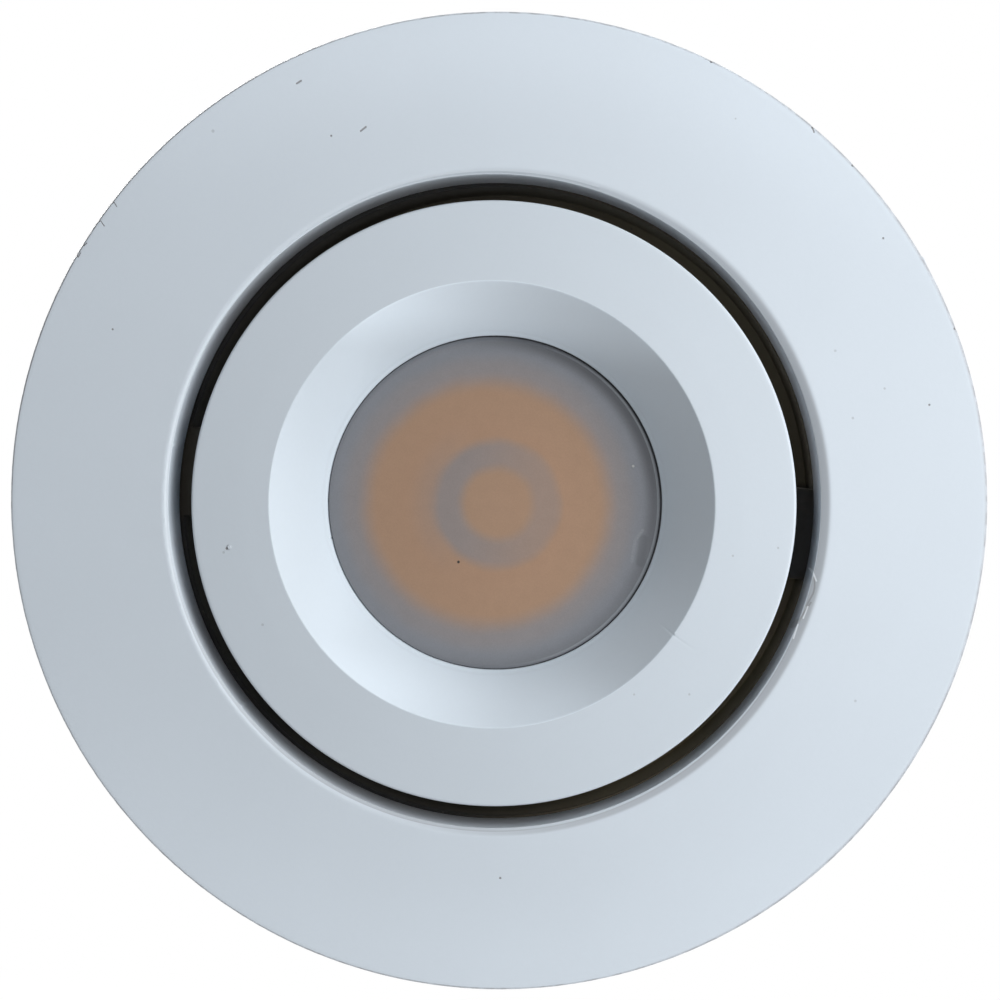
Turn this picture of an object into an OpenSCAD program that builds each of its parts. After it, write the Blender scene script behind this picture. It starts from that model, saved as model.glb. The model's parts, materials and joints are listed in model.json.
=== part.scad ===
// Recessed adjustable puck light: a trim ring with a gimbal lamp head and two spring clips.
// Sizes are millimetres. The shapes are drawn looking at the front of the light: x to the right,
// y up and z towards the viewer, with z = 0 on the ceiling that the trim ring seats against.
// facing() then turns them so that the front looks along -Y and the neck points along +Y.

/* [Light opening] */
// Radius of the opening that shows the lens
aperture_r = 15.6; // [12:0.1:22]
// Width of the flat ledge between the lens opening and the cone
ledge_w = 0.35; // [0.2:0.05:0.8]
// Width of the reflector cone, seen from the front
cone_w = 4.5; // [3:0.1:6]
// Depth from the rim of the cone to the ledge
cone_depth = 5.2; // [3:0.1:9]
// How far the cone's rim stands in front of the ceiling
head_front = 4.4; // [3.8:0.1:6]

/* [Lens] */
// Width of the lens flange behind the lip
lens_flange_w = 1; // [0.8:0.1:2]
// Thickness of the lens flange
lens_flange_t = 1.5; // [1:0.1:2.5]
// Overall height of the lens
lens_h = 7.5; // [6.5:0.1:12]
// How far the lens face lies behind the ledge
lens_recess = 0.2; // [0.1:0.05:0.3]
// Bevel round the lens face
lens_bevel = 0.35; // [0.2:0.05:0.6]
// Radius of the lens body just behind its flange
lens_body_r = 14.6; // [10:0.1:15]
// Radius of the lens at its back
lens_back_r = 6.4; // [6.1:0.1:8]
// Thickness of the lens gasket
lens_gasket_t = 0.3; // [0.2:0.05:0.6]

/* [Lamp head] */
// Thickness of the lip in front of the lens
lip_t = 0.6; // [0.4:0.1:1]
// Wall of the lens holder
holder_t = 1.6; // [1.2:0.1:3]
// Gap between the lens holder and the screw bosses
boss_gap = 0.8; // [0.4:0.1:3]
// Radius of a screw boss
boss_r = 2; // [1.8:0.1:3]
// Gap between the screw bosses and the skirt
boss_rim_gap = 0.6; // [0.4:0.1:2]
// Wall of the housing skirt
skirt_t = 2; // [1.2:0.1:3]
// Overhang of the front disc past the skirt
disc_lip = 2.2; // [2.2:0.1:4]
// Fall of the front disc from the cone's rim to the disc's edge
disc_fall = 0.85; // [0.3:0.05:1.5]
// Rounding of the front edges
edge_round = 0.3; // [0.2:0.05:0.5]
// Thickness of the disc at its edge
disc_edge_t = 0.95; // [0.7:0.05:1.5]
// Wall of the cone, measured along the lamp axis
cone_t = 2.4; // [1.6:0.1:3]

/* [LED] */
// Radius of the light-emitting surface
emitter_r = 5.2; // [4:0.1:5.3]
// Width of the dam round the light-emitting surface
dam_w = 0.6; // [0.4:0.05:0.7]
// Height of the dam
dam_h = 0.5; // [0.3:0.05:0.8]
// Gap between the dam and the back of the lens
emitter_gap = 0.3; // [0.2:0.05:1]
// Side of the LED board
board_w = 13.5; // [12:0.1:14]
// Thickness of the LED board
board_t = 1; // [0.8:0.1:1.6]
// Thickness of the thermal pad
pad_t = 0.3; // [0.2:0.05:0.6]
// Radius of the LED holder
led_holder_r = 13.2; // [12.6:0.1:14]
// Distance of the LED screws from the lamp axis
led_screw_x = 10.2; // [9.8:0.1:10.6]
// Radius of an LED screw
led_screw_r = 1; // [0.8:0.05:1.1]
// Height of an LED screw's head
led_head_h = 1; // [0.6:0.1:1]
// How far the LED screws reach into the heat sink
led_screw_bite = 2.2; // [1.5:0.1:3]

/* [Heat sink] */
// Thickness of the heat sink's front plate
plate_t = 3.4; // [3.2:0.1:6]
// Length of the fins
fin_len = 32; // [15:1:60]
// Thickness of a fin
fin_t = 1; // [0.8:0.1:1.2]
// Number of fins, a multiple of three so that the screws lie between fins
fins = 24; // [18:3:24]
// Radius of the solid core
core_r = 7; // [5:0.1:9]
// Chamfer at the back of the fins
fin_chamfer = 2; // [0.5:0.1:4]
// Radius of a bezel screw
bezel_screw_r = 1.25; // [1:0.05:1.3]
// Height of a bezel screw's head
bezel_head_h = 1.6; // [1:0.1:2.5]
// Radius of a bezel screw's head
bezel_head_r = 2; // [1.7:0.05:2.1]
// How far the bezel screws reach into the bosses
bezel_screw_bite = 5; // [3:0.1:7]

/* [Cable inlet] */
// Radius of the cable passage through the grommet
inlet_r = 2.25; // [1.5:0.05:2.6]
// Wall of the grommet
grommet_t = 1.15; // [0.8:0.05:1.6]
// Width of the grommet's flange past its body
grommet_flange_w = 1; // [0.6:0.1:1.4]
// Thickness of the grommet's flange
grommet_flange_t = 1; // [0.6:0.1:2]
// Depth of the grommet in the heat sink
grommet_depth = 4; // [3:0.1:8]
// Wall of the duct that the cable runs through
duct_t = 1.2; // [1:0.1:2]
// Distance of the duct from the lamp axis
duct_y = 10.4; // [10.2:0.1:10.8]

/* [Tilt] */
// Depth of the tilt axis behind the ceiling
pivot_depth = 5; // [4.6:0.1:5.6]
// Tilt to each side, in degrees
tilt_max = 25; // [10:1:28]
// Gap between the tilting head and the bore
swing_gap = 0.9; // [0.6:0.05:2]
// Gap between the tilting head and the swivel ring
ring_gap = 0.6; // [0.4:0.05:0.8]
// Gap between the tilted fins and the neck or the swivel ring's lip
fin_gap = 0.5; // [0.4:0.1:2]
// Radius of a pivot screw
pivot_r = 1.5; // [1.2:0.05:1.8]
// Radius of a pivot screw's head
pivot_head_r = 2.5; // [2.2:0.1:2.8]
// Height of a pivot screw's head
pivot_head_h = 1.2; // [0.8:0.1:1.3]
// Radius of the pivot lugs on the skirt
lug_r = 3.6; // [3:0.1:4.2]
// Height of the pivot lugs on the skirt
lug_h = 1.8; // [1.4:0.1:1.8]
// Thickness of a friction washer
washer_t = 0.4; // [0.3:0.05:0.5]
// Radius of a friction washer
washer_r = 3.1; // [2.6:0.1:3.4]

/* [Swivel ring] */
// Wall of the swivel ring
ring_t = 1.4; // [1.3:0.1:2]
// Length of the pivot tabs behind the tilt axis
tab_back = 3.2; // [3:0.1:4]
// Thickness of the inner lip that closes the gap round the head
ring_lip_t = 0.9; // [0.6:0.1:1.2]
// How far that lip reaches in past the head's edge
ring_lip_cover = 0.6; // [0.4:0.1:0.8]
// Width of a pivot tab
tab_w = 8.4; // [7:0.1:10]
// Thickness of the glide ring
glide_t = 0.5; // [0.3:0.05:0.8]
// Width of the stop tab
stop_tab_w = 4; // [2:0.1:8]
// Thickness of the stop tab
stop_tab_t = 0.6; // [0.5:0.05:0.7]
// Radius of the snap ring's wire
snap_wire_r = 0.65; // [0.5:0.05:0.7]
// How far the snap ring sits in its groove
snap_bite = 0.75; // [0.6:0.05:0.8]
// Opening between the ends of the snap ring, in degrees
snap_open = 24; // [10:1:60]
// Radius of the stop pin
stop_pin_r = 1; // [0.8:0.05:1.2]

/* [Trim ring] */
// Depth of the white collar behind the ceiling
collar_back = 1.7; // [1.2:0.1:2]
// Wall of the neck
neck_t = 1.7; // [1.4:0.1:3]
// Length of the neck behind the ceiling
neck_len = 19; // [18:0.5:20]
// Width of the flange outside the cut-out
flange_lap = 7.5; // [5:0.1:20]
// Height of the rim in front of the ceiling
rim_h = 2.1; // [1.8:0.1:3]
// Rise of the flange from its rim to its bore
flange_rise = 1.5; // [0.4:0.1:2]
// Width of the bevel round the bore
bore_edge_w = 0.65; // [0.3:0.05:1]
// Drop of the bevel round the bore
bore_edge_h = 0.15; // [0.05:0.05:0.6]
// Width of the lip that hides the foam gasket
rim_lip_w = 1; // [0.8:0.1:2]
// Gap between that lip and the ceiling
rim_lip_gap = 0.2; // [0.1:0.05:0.4]
// Thickness of the foam gasket
seal_t = 0.8; // [0.6:0.1:1]

/* [Mounting clips] */
// Thickness of the clip's sheet metal
sheet_t = 0.6; // [0.5:0.05:0.7]
// Width of a clip bracket
clip_w = 9.2; // [8.6:0.1:10]
// Height of the flat pad on the neck above its round wall
clip_pad_h = 0.2; // [0.1:0.05:0.5]
// Distance of the hinge pin from the end of the neck
pin_inset = 2.7; // [2.4:0.1:3]
// Distance of the hinge pin from the bracket's base
pin_offset = 1.63; // [1.6:0.01:2]
// Radius of the hinge pin
pin_r = 0.7; // [0.5:0.05:0.75]
// Room for the clip outside its hinge pin, up to the edge of the cut-out
clip_room = 2.29; // [2.1:0.01:3]
// Radius of the bracket's ears round the pin
ear_r = 1.4; // [1.2:0.05:1.5]
// Radius of the arm's ears round the pin
arm_ear_r = 1.3; // [1.1:0.05:1.3]
// Side gap between arm and bracket
side_gap = 0.2; // [0.15:0.05:0.4]
// Angle of a released arm to the ceiling, in degrees
arm_angle = 60; // [56:1:66]
// Thinnest ceiling that a released arm leaves room for
panel_min = 2.15; // [2.1:0.05:4]
// Distance of the arm's web from the pin
web_v = 1.45; // [1.45:0.01:1.5]
// Rubber round the arm's end
tip_t = 0.9; // [0.6:0.05:1]
// Length of the rubber tip on the arm
tip_len = 4.4; // [3:0.1:6]
// Radius of a rivet
rivet_r = 0.9; // [0.7:0.05:1]
// Radius of a rivet's head
rivet_head_r = 1.6; // [1.3:0.1:1.6]
// Height of a rivet's head
rivet_head_h = 0.7; // [0.4:0.1:0.8]
// Distance of a rivet from the clip's middle
rivet_y = 2.6; // [2.2:0.1:2.7]
// Gap between a rivet and the snap ring's groove
rivet_gap = 0.6; // [0.4:0.1:1]
// Metal between a rivet's head and the front end of a bracket
rivet_edge = 1; // [0.5:0.1:2]
// Radius of the spring's wire
wire_r = 0.25; // [0.2:0.01:0.27]
// Radius of the spring's curls, to the middle of the wire
coil_r = 1.15; // [1.1:0.01:1.2]
// Whole curls in a spring
coil_turns = 4; // [3:1:5]
// Advance of one curl
coil_pitch = 0.95; // [0.95:0.01:1]

/* [Hidden] */
$fn = 96;

// Clearances
run_fit = 0.08;
pin_fit = 0.05;
face_gap = 0.1;
seat_gap = 0.05;
lens_side_gap = 0.25;
duct_room = 0.35;
// Overlap of a cut past the face it opens
cut = 1;

// Radii of the lamp head, from the lens outwards
ledge_r = aperture_r + ledge_w;
cone_r = ledge_r + cone_w;
lens_neck_r = aperture_r - lens_side_gap;
seat_r = aperture_r + lens_flange_w;
lens_flange_r = seat_r - face_gap;
holder_r = seat_r + holder_t;
boss_ring_r = holder_r + boss_gap + boss_r;
skirt_in_r = boss_ring_r + boss_r + boss_rim_gap;
skirt_r = skirt_in_r + skirt_t;
head_r = skirt_r + disc_lip;

// Depths of the lamp head, from its front backwards
disc_front = head_front - disc_fall;
cone_dir = 180 - atan(cone_w / cone_depth);
cone_back_w = 1.3;
edge_top = disc_front - edge_round;
disc_back = edge_top - disc_edge_t;
ledge_z = head_front - cone_depth;
lip_back = ledge_z - lip_t;
flange_front = lip_back - lens_gasket_t;
flange_back = flange_front - lens_flange_t;
lens_front = ledge_z - lens_recess;
lens_back = lens_front - lens_h;
board_front = lens_back - emitter_gap - dam_h;
board_back = board_front - board_t;
sink_front = board_back - pad_t;
plate_back = sink_front - plate_t;
sink_back = plate_back - fin_len;
led_holder_front = board_front + dam_h;
led_holder_h = led_holder_front - sink_front;

// The head's swing sets the bore, the swivel ring, the neck and so the cut-out and the trim
pivot_z = -pivot_depth;
swing_r = sqrt(pow(head_r, 2) + pow(edge_top - pivot_z, 2));
bore_r = swing_r + swing_gap;
ring_in_r = swing_r + ring_gap;
ring_out_r = ring_in_r + ring_t;
pocket_r = ring_out_r + run_fit;
neck_r = pocket_r + neck_t;
lug_x = skirt_r + lug_h;
tab_x = lug_x + washer_t + face_gap;
pivot_seat_x = ring_out_r - pivot_head_h - 3 * face_gap;

// Depths of the trim ring
shoulder_z = -collar_back;
glide_back = shoulder_z - glide_t;
ring_front_z = glide_back - face_gap;
tab_back_z = pivot_z - tab_back;
// The lip lies behind the deepest place that the disc's edge swings to
disc_swing_z = pivot_z + (disc_back - pivot_z) * cos(tilt_max) - head_r * sin(tilt_max);
ring_lip_z = min(tab_back_z, disc_swing_z) - 4 * face_gap;
ring_back_z = ring_lip_z - ring_lip_t;
ring_lip_r = head_r - ring_lip_cover;
groove_z = ring_back_z - face_gap;
groove_w = 2 * snap_wire_r + seat_gap;
snap_z = groove_z - snap_wire_r;
snap_r = pocket_r + snap_bite - snap_wire_r;
stop_pin_z = groove_z - groove_w - stop_pin_r;
stop_tab_back = stop_pin_z - stop_pin_r;
neck_back = -neck_len;
crown_z = rim_h + flange_rise;

// The fins just clear the ring's lip and the end of the neck when the head is fully tilted
function tilt_clear(r, z) = (r - fin_gap) * cos(tilt_max) - (pivot_z - z) * sin(tilt_max);
fin_r = min(tilt_clear(ring_lip_r, ring_back_z), tilt_clear(pocket_r, neck_back));

// Cable duct
grommet_r = inlet_r + grommet_t;
duct_r = grommet_r + duct_t;
duct_bore_r = inlet_r + duct_room;

// Places of the clips
pad_x = neck_r + clip_pad_h;
base_x = pad_x + sheet_t;
pin_x = base_x + pin_offset;
pin_z = neck_back + pin_inset;
rivet_z = groove_z + rivet_gap + rivet_r;
base_back = neck_back + 2 * face_gap;
base_front = rivet_z + rivet_head_r + rivet_edge;
cutout_r = pin_x + clip_room;
trim_r = cutout_r + flange_lap;
ear_in = clip_w / 2 - sheet_t;
arm_w = 2 * (ear_in - side_gap);
web_out = web_v + sheet_t;
tip_r = sheet_t / 2 + tip_t;
web_mid = web_v + sheet_t / 2;
web_start = 2;
arm_ear_len = 6.5;
arm_tip_u = (-panel_min - pin_z - web_mid * cos(arm_angle) - tip_r) / sin(arm_angle);
tip_wall = 0.3;
arm_len = arm_tip_u + tip_wall;
// The heel meets the bracket's base and stops the arm
heel_dir = 140;
heel_reach = (pin_offset - seat_gap) / cos(180 - heel_dir);

// Clip springs: rings along each curl and each leg, and the way round from one leg to the other
wire_sides = 6;
curl_rings = 8;
half_curl = curl_rings / 2;
leg_a_steps = 8;
leg_b_steps = 4;
leg_step = 2 * wire_r;
leg_a_dir = arm_angle + 90;
coil_sweep = 360 * coil_turns + 180 - leg_a_dir;
curl_count = round(curl_rings * coil_sweep / 360);
coil_w = coil_pitch * coil_sweep / 360;

// Foam gasket
seal_in_r = cutout_r + face_gap;
seal_out_r = trim_r - rim_lip_w - 2 * face_gap;

// Colours
white_paint = [0.84, 0.87, 0.90];
black_steel = [0.09, 0.09, 0.09];
black_alloy = [0.12, 0.12, 0.13];
steel = [0.66, 0.67, 0.68];
spring_steel = [0.55, 0.56, 0.58];
frosted = [0.48, 0.49, 0.52, 0.7];
phosphor = [0.80, 0.50, 0.20];
rubber = [0.15, 0.15, 0.16];
clear_rubber = [0.74, 0.75, 0.74];
foam = [0.30, 0.30, 0.31];
pale_plastic = [0.90, 0.90, 0.88];
dark_nylon = [0.13, 0.13, 0.13];
pad_blue = [0.55, 0.62, 0.70];

// Points of an arc round c, from angle a0 to a1
function arc(c, r, a0, a1, n = 6) =
    [for (i = [0:n]) let (a = a0 + (a1 - a0) * i / n) c + r * [cos(a), sin(a)]];

// Turns the front of the light from +z to -Y
module facing() {
    rotate([90, 0, 0]) children();
}

// Ring with a rectangular section, between two radii and two depths
module band(r0, r1, z0, z1) {
    rotate_extrude()
        translate([r0, z0]) square([r1 - r0, z1 - z0]);
}

// Cylinder that lies along x from x0 to x1, at depth z
module bar_x(r, x0, x1, z) {
    translate([x0, 0, z]) rotate([0, 90, 0]) cylinder(r = r, h = x1 - x0);
}

// Puts its children at the right and at the left, half a turn apart
module both_sides() {
    for (turn = [0, 180]) rotate(turn) children();
}

// Three places between fins where screws tie the bezel to the heat sink
module at_bosses() {
    for (i = [0:2]) rotate(90 + 120 * i) translate([boss_ring_r, 0, 0]) children();
}

// Section in the x-z plane, extruded across the clip
module clip_slab(w) {
    rotate([90, 0, 0]) linear_extrude(w, center = true) children();
}

// Section in the arm's own frame: u along the arm from its pin, v towards the ceiling
module arm_slab(w) {
    translate([pin_x, 0, pin_z]) clip_slab(w) rotate(arm_angle) children();
}

// Flange and neck, with the pocket that the swivel ring turns in
module trim_section() {
    polygon(concat(
        [[pocket_r, neck_back], [neck_r, neck_back], [neck_r, seal_t], [trim_r - rim_lip_w, seal_t],
         [trim_r - rim_lip_w, rim_lip_gap], [trim_r, rim_lip_gap]],
        arc([trim_r - edge_round, rim_h - edge_round], edge_round, 0, 84),
        [[bore_r + bore_edge_w, crown_z], [bore_r, crown_z - bore_edge_h],
         [bore_r, shoulder_z], [pocket_r, shoulder_z]]));
}

module trim_ring() {
    color(white_paint) facing() difference() {
        union() {
            rotate_extrude() trim_section();
            both_sides()
                translate([pocket_r + neck_t / 2, -clip_w / 2, neck_back])
                    cube([pad_x - pocket_r - neck_t / 2, clip_w, base_front - neck_back]);
        }
        band(pocket_r - cut, pocket_r + snap_bite + seat_gap, groove_z - groove_w, groove_z);
        rotate(-90) bar_x(stop_pin_r, pocket_r - cut, neck_r + cut, stop_pin_z);
        rivet_places() bar_x(rivet_r, pocket_r - cut, pad_x + cut, 0);
    }
}

module seal_gasket() {
    color(foam) facing() band(seal_in_r, seal_out_r, 0, seal_t);
}

module glide_ring() {
    color(dark_nylon) facing() band(bore_r, ring_out_r, glide_back, shoulder_z);
}

// Black ring that turns in the neck, carries the head on two tabs and closes the gap round it
module swivel_ring() {
    color(black_steel) facing() difference() {
        union() {
            band(ring_in_r, ring_out_r, ring_back_z, ring_front_z);
            band(ring_lip_r, ring_out_r, ring_back_z, ring_lip_z);
            both_sides()
                translate([tab_x, -tab_w / 2, tab_back_z])
                    cube([ring_in_r - tab_x + ring_t / 2, tab_w, ring_front_z - tab_back_z]);
            intersection() {
                band(ring_in_r, ring_in_r + stop_tab_t, stop_tab_back, ring_back_z + cut);
                translate([-stop_tab_w / 2, 0, stop_tab_back])
                    cube([stop_tab_w, neck_r, ring_back_z + cut - stop_tab_back]);
            }
        }
        both_sides() {
            bar_x(pivot_r + pin_fit, tab_x - cut, ring_out_r, pivot_z);
            bar_x(pivot_head_r + face_gap, pivot_seat_x, ring_out_r + cut, pivot_z);
        }
    }
}

// Open wire ring in the neck's groove, which keeps the swivel ring in
module snap_ring() {
    color(spring_steel) facing()
        rotate(90 + snap_open / 2) rotate_extrude(angle = 360 - snap_open)
            translate([snap_r, snap_z]) circle(snap_wire_r, $fn = 24);
}

module stop_pin() {
    color(steel) facing() rotate(-90) bar_x(stop_pin_r, ring_in_r + face_gap, neck_r, stop_pin_z);
}

// Front disc, cone and housing skirt
module bezel_section() {
    polygon(concat(
        [[head_r, disc_back]],
        arc([head_r - edge_round, edge_top], edge_round, 0, 84),
        arc([cone_r + edge_round, head_front - edge_round], edge_round, 90, cone_dir),
        [[ledge_r, ledge_z], [aperture_r, ledge_z], [aperture_r, lip_back], [seat_r, lip_back],
         [seat_r, flange_back], [holder_r, flange_back],
         [holder_r, ledge_z + (holder_r - ledge_r) * cone_depth / cone_w - cone_t],
         [min(cone_r + cone_back_w, skirt_in_r - face_gap), disc_back], [skirt_in_r, disc_back],
         [skirt_in_r, sink_front], [skirt_r, sink_front], [skirt_r, disc_back]]));
}

module head_bezel() {
    color(white_paint) facing() difference() {
        union() {
            rotate_extrude() bezel_section();
            at_bosses() translate([0, 0, sink_front]) cylinder(r = boss_r, h = disc_back - sink_front);
            both_sides() bar_x(lug_r, skirt_r - skirt_t / 2, lug_x, pivot_z);
        }
        at_bosses() translate([0, 0, sink_front - cut])
            cylinder(r = bezel_screw_r, h = bezel_screw_bite + cut);
        both_sides() bar_x(pivot_r, skirt_in_r - cut, lug_x + cut, pivot_z);
    }
}

module pivot_screws() {
    head_x = pivot_seat_x + face_gap;
    color(steel) facing() both_sides() difference() {
        union() {
            bar_x(pivot_r, skirt_in_r, head_x, pivot_z);
            bar_x(pivot_head_r, head_x, head_x + pivot_head_h, pivot_z);
        }
        translate([head_x + pivot_head_h / 3, 0, pivot_z])
            rotate([0, 90, 0]) cylinder(r = pivot_head_r / 2, h = pivot_head_h, $fn = 6);
    }
}

module friction_washers() {
    color(black_steel) facing() both_sides() difference() {
        bar_x(washer_r, lug_x, lug_x + washer_t, pivot_z);
        bar_x(pivot_r + pin_fit, lug_x - cut, lug_x + washer_t + cut, pivot_z);
    }
}

module lens_gasket() {
    color(clear_rubber) facing() band(aperture_r + face_gap, seat_r, flange_front, lip_back);
}

// Lens with a frosted face, a flange, a tapering body and a cavity over the LED
module tir_lens() {
    cavity_r = emitter_r + 2 * face_gap;
    cavity_top = flange_back - 0.6 * (flange_back - lens_back);
    body_h = flange_back - lens_back;
    steps = 10;
    taper = [for (i = [0:steps]) let (h = 1 - i / steps)
        [lens_back_r + (lens_body_r - lens_back_r) * pow(h, 0.55), lens_back + body_h * h]];
    color(frosted) facing() rotate_extrude() polygon(concat(
        [[0, lens_front], [lens_neck_r - lens_bevel, lens_front], [lens_neck_r, lens_front - lens_bevel],
         [lens_neck_r, flange_front], [lens_flange_r, flange_front], [lens_flange_r, flange_back]],
        taper,
        [[cavity_r, lens_back], [cavity_r - 0.5, cavity_top], [0, cavity_top + 0.4]]));
}

module lens_holder() {
    shelf_r = lens_body_r + 0.3;
    shelf_t = 0.9;
    inner_r = holder_r - 1.2;
    notch_w = 2 * inlet_r;
    color(pale_plastic) facing() difference() {
        rotate_extrude() polygon([
            [shelf_r, flange_back], [holder_r, flange_back], [holder_r, sink_front],
            [inner_r, sink_front], [inner_r, flange_back - shelf_t], [shelf_r, flange_back - shelf_t]]);
        translate([-notch_w / 2, -holder_r - cut, sink_front - cut])
            cube([notch_w, holder_r, 2 + cut]);
    }
}

module led_phosphor() {
    color(phosphor) facing() translate([0, 0, board_front])
        cylinder(r = emitter_r, h = dam_h - face_gap);
}

module led_dam() {
    color(pale_plastic) facing() band(emitter_r, emitter_r + dam_w, board_front, board_front + dam_h);
}

// Square plate on the lamp axis
module square_plate(w, z0, z1) {
    translate([-w / 2, -w / 2, z0]) cube([w, w, z1 - z0]);
}

module led_board() {
    color(steel) facing() square_plate(board_w, board_back, board_front);
}

module thermal_pad() {
    color(pad_blue) facing() square_plate(board_w, sink_front, board_back);
}

// Frame that clamps the LED board, with a notch for the leads
module led_holder() {
    pocket_w = board_w + face_gap;
    color(pale_plastic) facing() difference() {
        translate([0, 0, sink_front]) cylinder(r = led_holder_r, h = led_holder_h);
        square_plate(pocket_w, sink_front - cut, board_front);
        translate([0, 0, sink_front])
            cylinder(r = emitter_r + dam_w + face_gap, h = led_holder_h + cut);
        both_sides() {
            translate([led_screw_x, 0, sink_front - cut])
                cylinder(r = led_screw_r, h = led_holder_h + 2 * cut);
            translate([led_screw_x, 0, led_holder_front - led_head_h])
                cylinder(r = 2 * led_screw_r, h = led_head_h + cut);
        }
        translate([-inlet_r, -led_holder_r - cut, sink_front - cut])
            cube([2 * inlet_r, led_holder_r + cut - board_w / 2 - 1, led_holder_h + 2 * cut]);
    }
}

module led_screws() {
    color(steel) facing() both_sides() translate([led_screw_x, 0, 0]) difference() {
        union() {
            translate([0, 0, sink_front - led_screw_bite])
                cylinder(r = led_screw_r, h = led_holder_h + led_screw_bite - led_head_h);
            translate([0, 0, led_holder_front - led_head_h])
                cylinder(r = 2 * led_screw_r, h = led_head_h);
        }
        translate([0, 0, led_holder_front - led_head_h / 2])
            cylinder(r = led_screw_r, h = led_head_h, $fn = 6);
    }
}

// Front plate, core, fins and the duct for the cable
module heat_sink() {
    color(black_alloy) facing() difference() {
        union() {
            translate([0, 0, plate_back]) cylinder(r = skirt_r, h = plate_t);
            translate([0, 0, sink_back]) cylinder(r = core_r, h = fin_len + plate_t / 2);
            translate([0, -duct_y, sink_back]) cylinder(r = duct_r, h = fin_len + plate_t / 2);
            intersection() {
                rotate_extrude() polygon([
                    [0, sink_back], [fin_r - fin_chamfer, sink_back], [fin_r, sink_back + fin_chamfer],
                    [fin_r, plate_back + plate_t / 2], [0, plate_back + plate_t / 2]]);
                for (i = [0:fins - 1]) rotate(90 + 360 * (i + 0.5) / fins)
                    translate([0, -fin_t / 2, sink_back]) cube([fin_r + cut, fin_t, fin_len + plate_t / 2]);
            }
        }
        translate([0, -duct_y, sink_back - cut]) {
            cylinder(r = duct_bore_r, h = sink_front - sink_back + 2 * cut);
            cylinder(r = grommet_r, h = grommet_depth + cut);
        }
        at_bosses() translate([0, 0, plate_back - cut]) cylinder(r = bezel_screw_r, h = plate_t + 2 * cut);
        both_sides() translate([led_screw_x, 0, sink_front - led_screw_bite])
            cylinder(r = led_screw_r, h = led_screw_bite + cut);
    }
}

module bezel_screws() {
    color(steel) facing() at_bosses() difference() {
        union() {
            translate([0, 0, plate_back]) cylinder(r = bezel_screw_r, h = plate_t + bezel_screw_bite);
            translate([0, 0, plate_back - bezel_head_h]) cylinder(r = bezel_head_r, h = bezel_head_h);
        }
        translate([0, 0, plate_back - bezel_head_h - cut])
            cylinder(r = bezel_head_r / 2, h = cut + bezel_head_h / 2, $fn = 6);
    }
}

module cable_grommet() {
    color(rubber) facing() translate([0, -duct_y, sink_back]) {
        difference() {
            union() {
                cylinder(r = grommet_r, h = grommet_depth);
                translate([0, 0, -grommet_flange_t])
                    cylinder(r = grommet_r + grommet_flange_w, h = grommet_flange_t);
            }
            translate([0, 0, -grommet_flange_t - cut])
                cylinder(r = inlet_r, h = grommet_depth + grommet_flange_t + 2 * cut);
        }
    }
}

// Four places where a rivet goes through a bracket's base and the neck
module rivet_places() {
    both_sides() for (side = [-1, 1]) translate([0, side * rivet_y, rivet_z]) children();
}

// Channel of sheet metal with two ears for the hinge pin
module bracket() {
    ear_section_w = pin_x - pad_x;
    color(steel) difference() {
        union() {
            translate([pad_x, -clip_w / 2, base_back]) cube([sheet_t, clip_w, base_front - base_back]);
            for (side = [-1, 1]) translate([0, side * (clip_w - sheet_t) / 2, 0]) clip_slab(sheet_t) {
                translate([pad_x, pin_z - ear_r]) square([ear_section_w, 2 * ear_r]);
                translate([pin_x, pin_z]) circle(ear_r);
            }
        }
        translate([pin_x, 0, pin_z]) rotate([90, 0, 0])
            cylinder(r = pin_r, h = clip_w + 2 * cut, center = true);
        for (side = [-1, 1]) translate([0, side * rivet_y, rivet_z])
            bar_x(rivet_r, pad_x - cut, base_x + cut, 0);
    }
}

// Rivets with a rounded head, drawn along z and laid along x
module bracket_rivets() {
    start = pocket_r + seat_gap;
    dome_r = (pow(rivet_head_r, 2) + pow(rivet_head_h, 2)) / (2 * rivet_head_h);
    dome_dir = acos(rivet_head_r / dome_r);
    color(spring_steel) facing() rivet_places() translate([start, 0, 0]) rotate([0, 90, 0])
        rotate_extrude() polygon(concat(
            [[0, 0], [rivet_r, 0], [rivet_r, base_x - start]],
            arc([0, base_x - start + rivet_head_h - dome_r], dome_r, dome_dir, 90)));
}

module hinge_pin() {
    head_h = 0.4;
    head_r = pin_r + 0.45;
    color(steel) translate([pin_x, 0, pin_z]) rotate([90, 0, 0]) {
        cylinder(r = pin_r, h = clip_w, center = true);
        for (side = [0, 1]) mirror([0, 0, side]) translate([0, 0, clip_w / 2])
            cylinder(r = head_r, h = head_h);
    }
}

// Channel-shaped arm: two ears on the pin, a web between them and a heel that stops it
module clip_arm() {
    heel = heel_reach * [cos(heel_dir - arm_angle), sin(heel_dir - arm_angle)];
    color(spring_steel) {
        for (side = [-1, 1]) translate([0, side * (arm_w - sheet_t) / 2, 0])
        arm_slab(sheet_t) difference() {
            union() {
                circle(arm_ear_r);
                polygon([[0, -arm_ear_r], [web_start, -0.5], [arm_ear_len, web_v],
                         [arm_ear_len, web_out], [web_start, web_out], heel]);
            }
            circle(pin_r + pin_fit);
        }
        arm_slab(arm_w) translate([web_start, web_v]) square([arm_len - web_start, sheet_t]);
    }
}

module clip_tip() {
    color(clear_rubber) arm_slab(arm_w + 1) difference() {
        union() {
            translate([arm_len - tip_len, web_mid - tip_r]) square([tip_len - tip_wall, 2 * tip_r]);
            translate([arm_tip_u, web_mid]) circle(tip_r);
        }
        translate([arm_len - tip_len - cut, web_v]) square([tip_len + cut, sheet_t]);
    }
}

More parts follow.
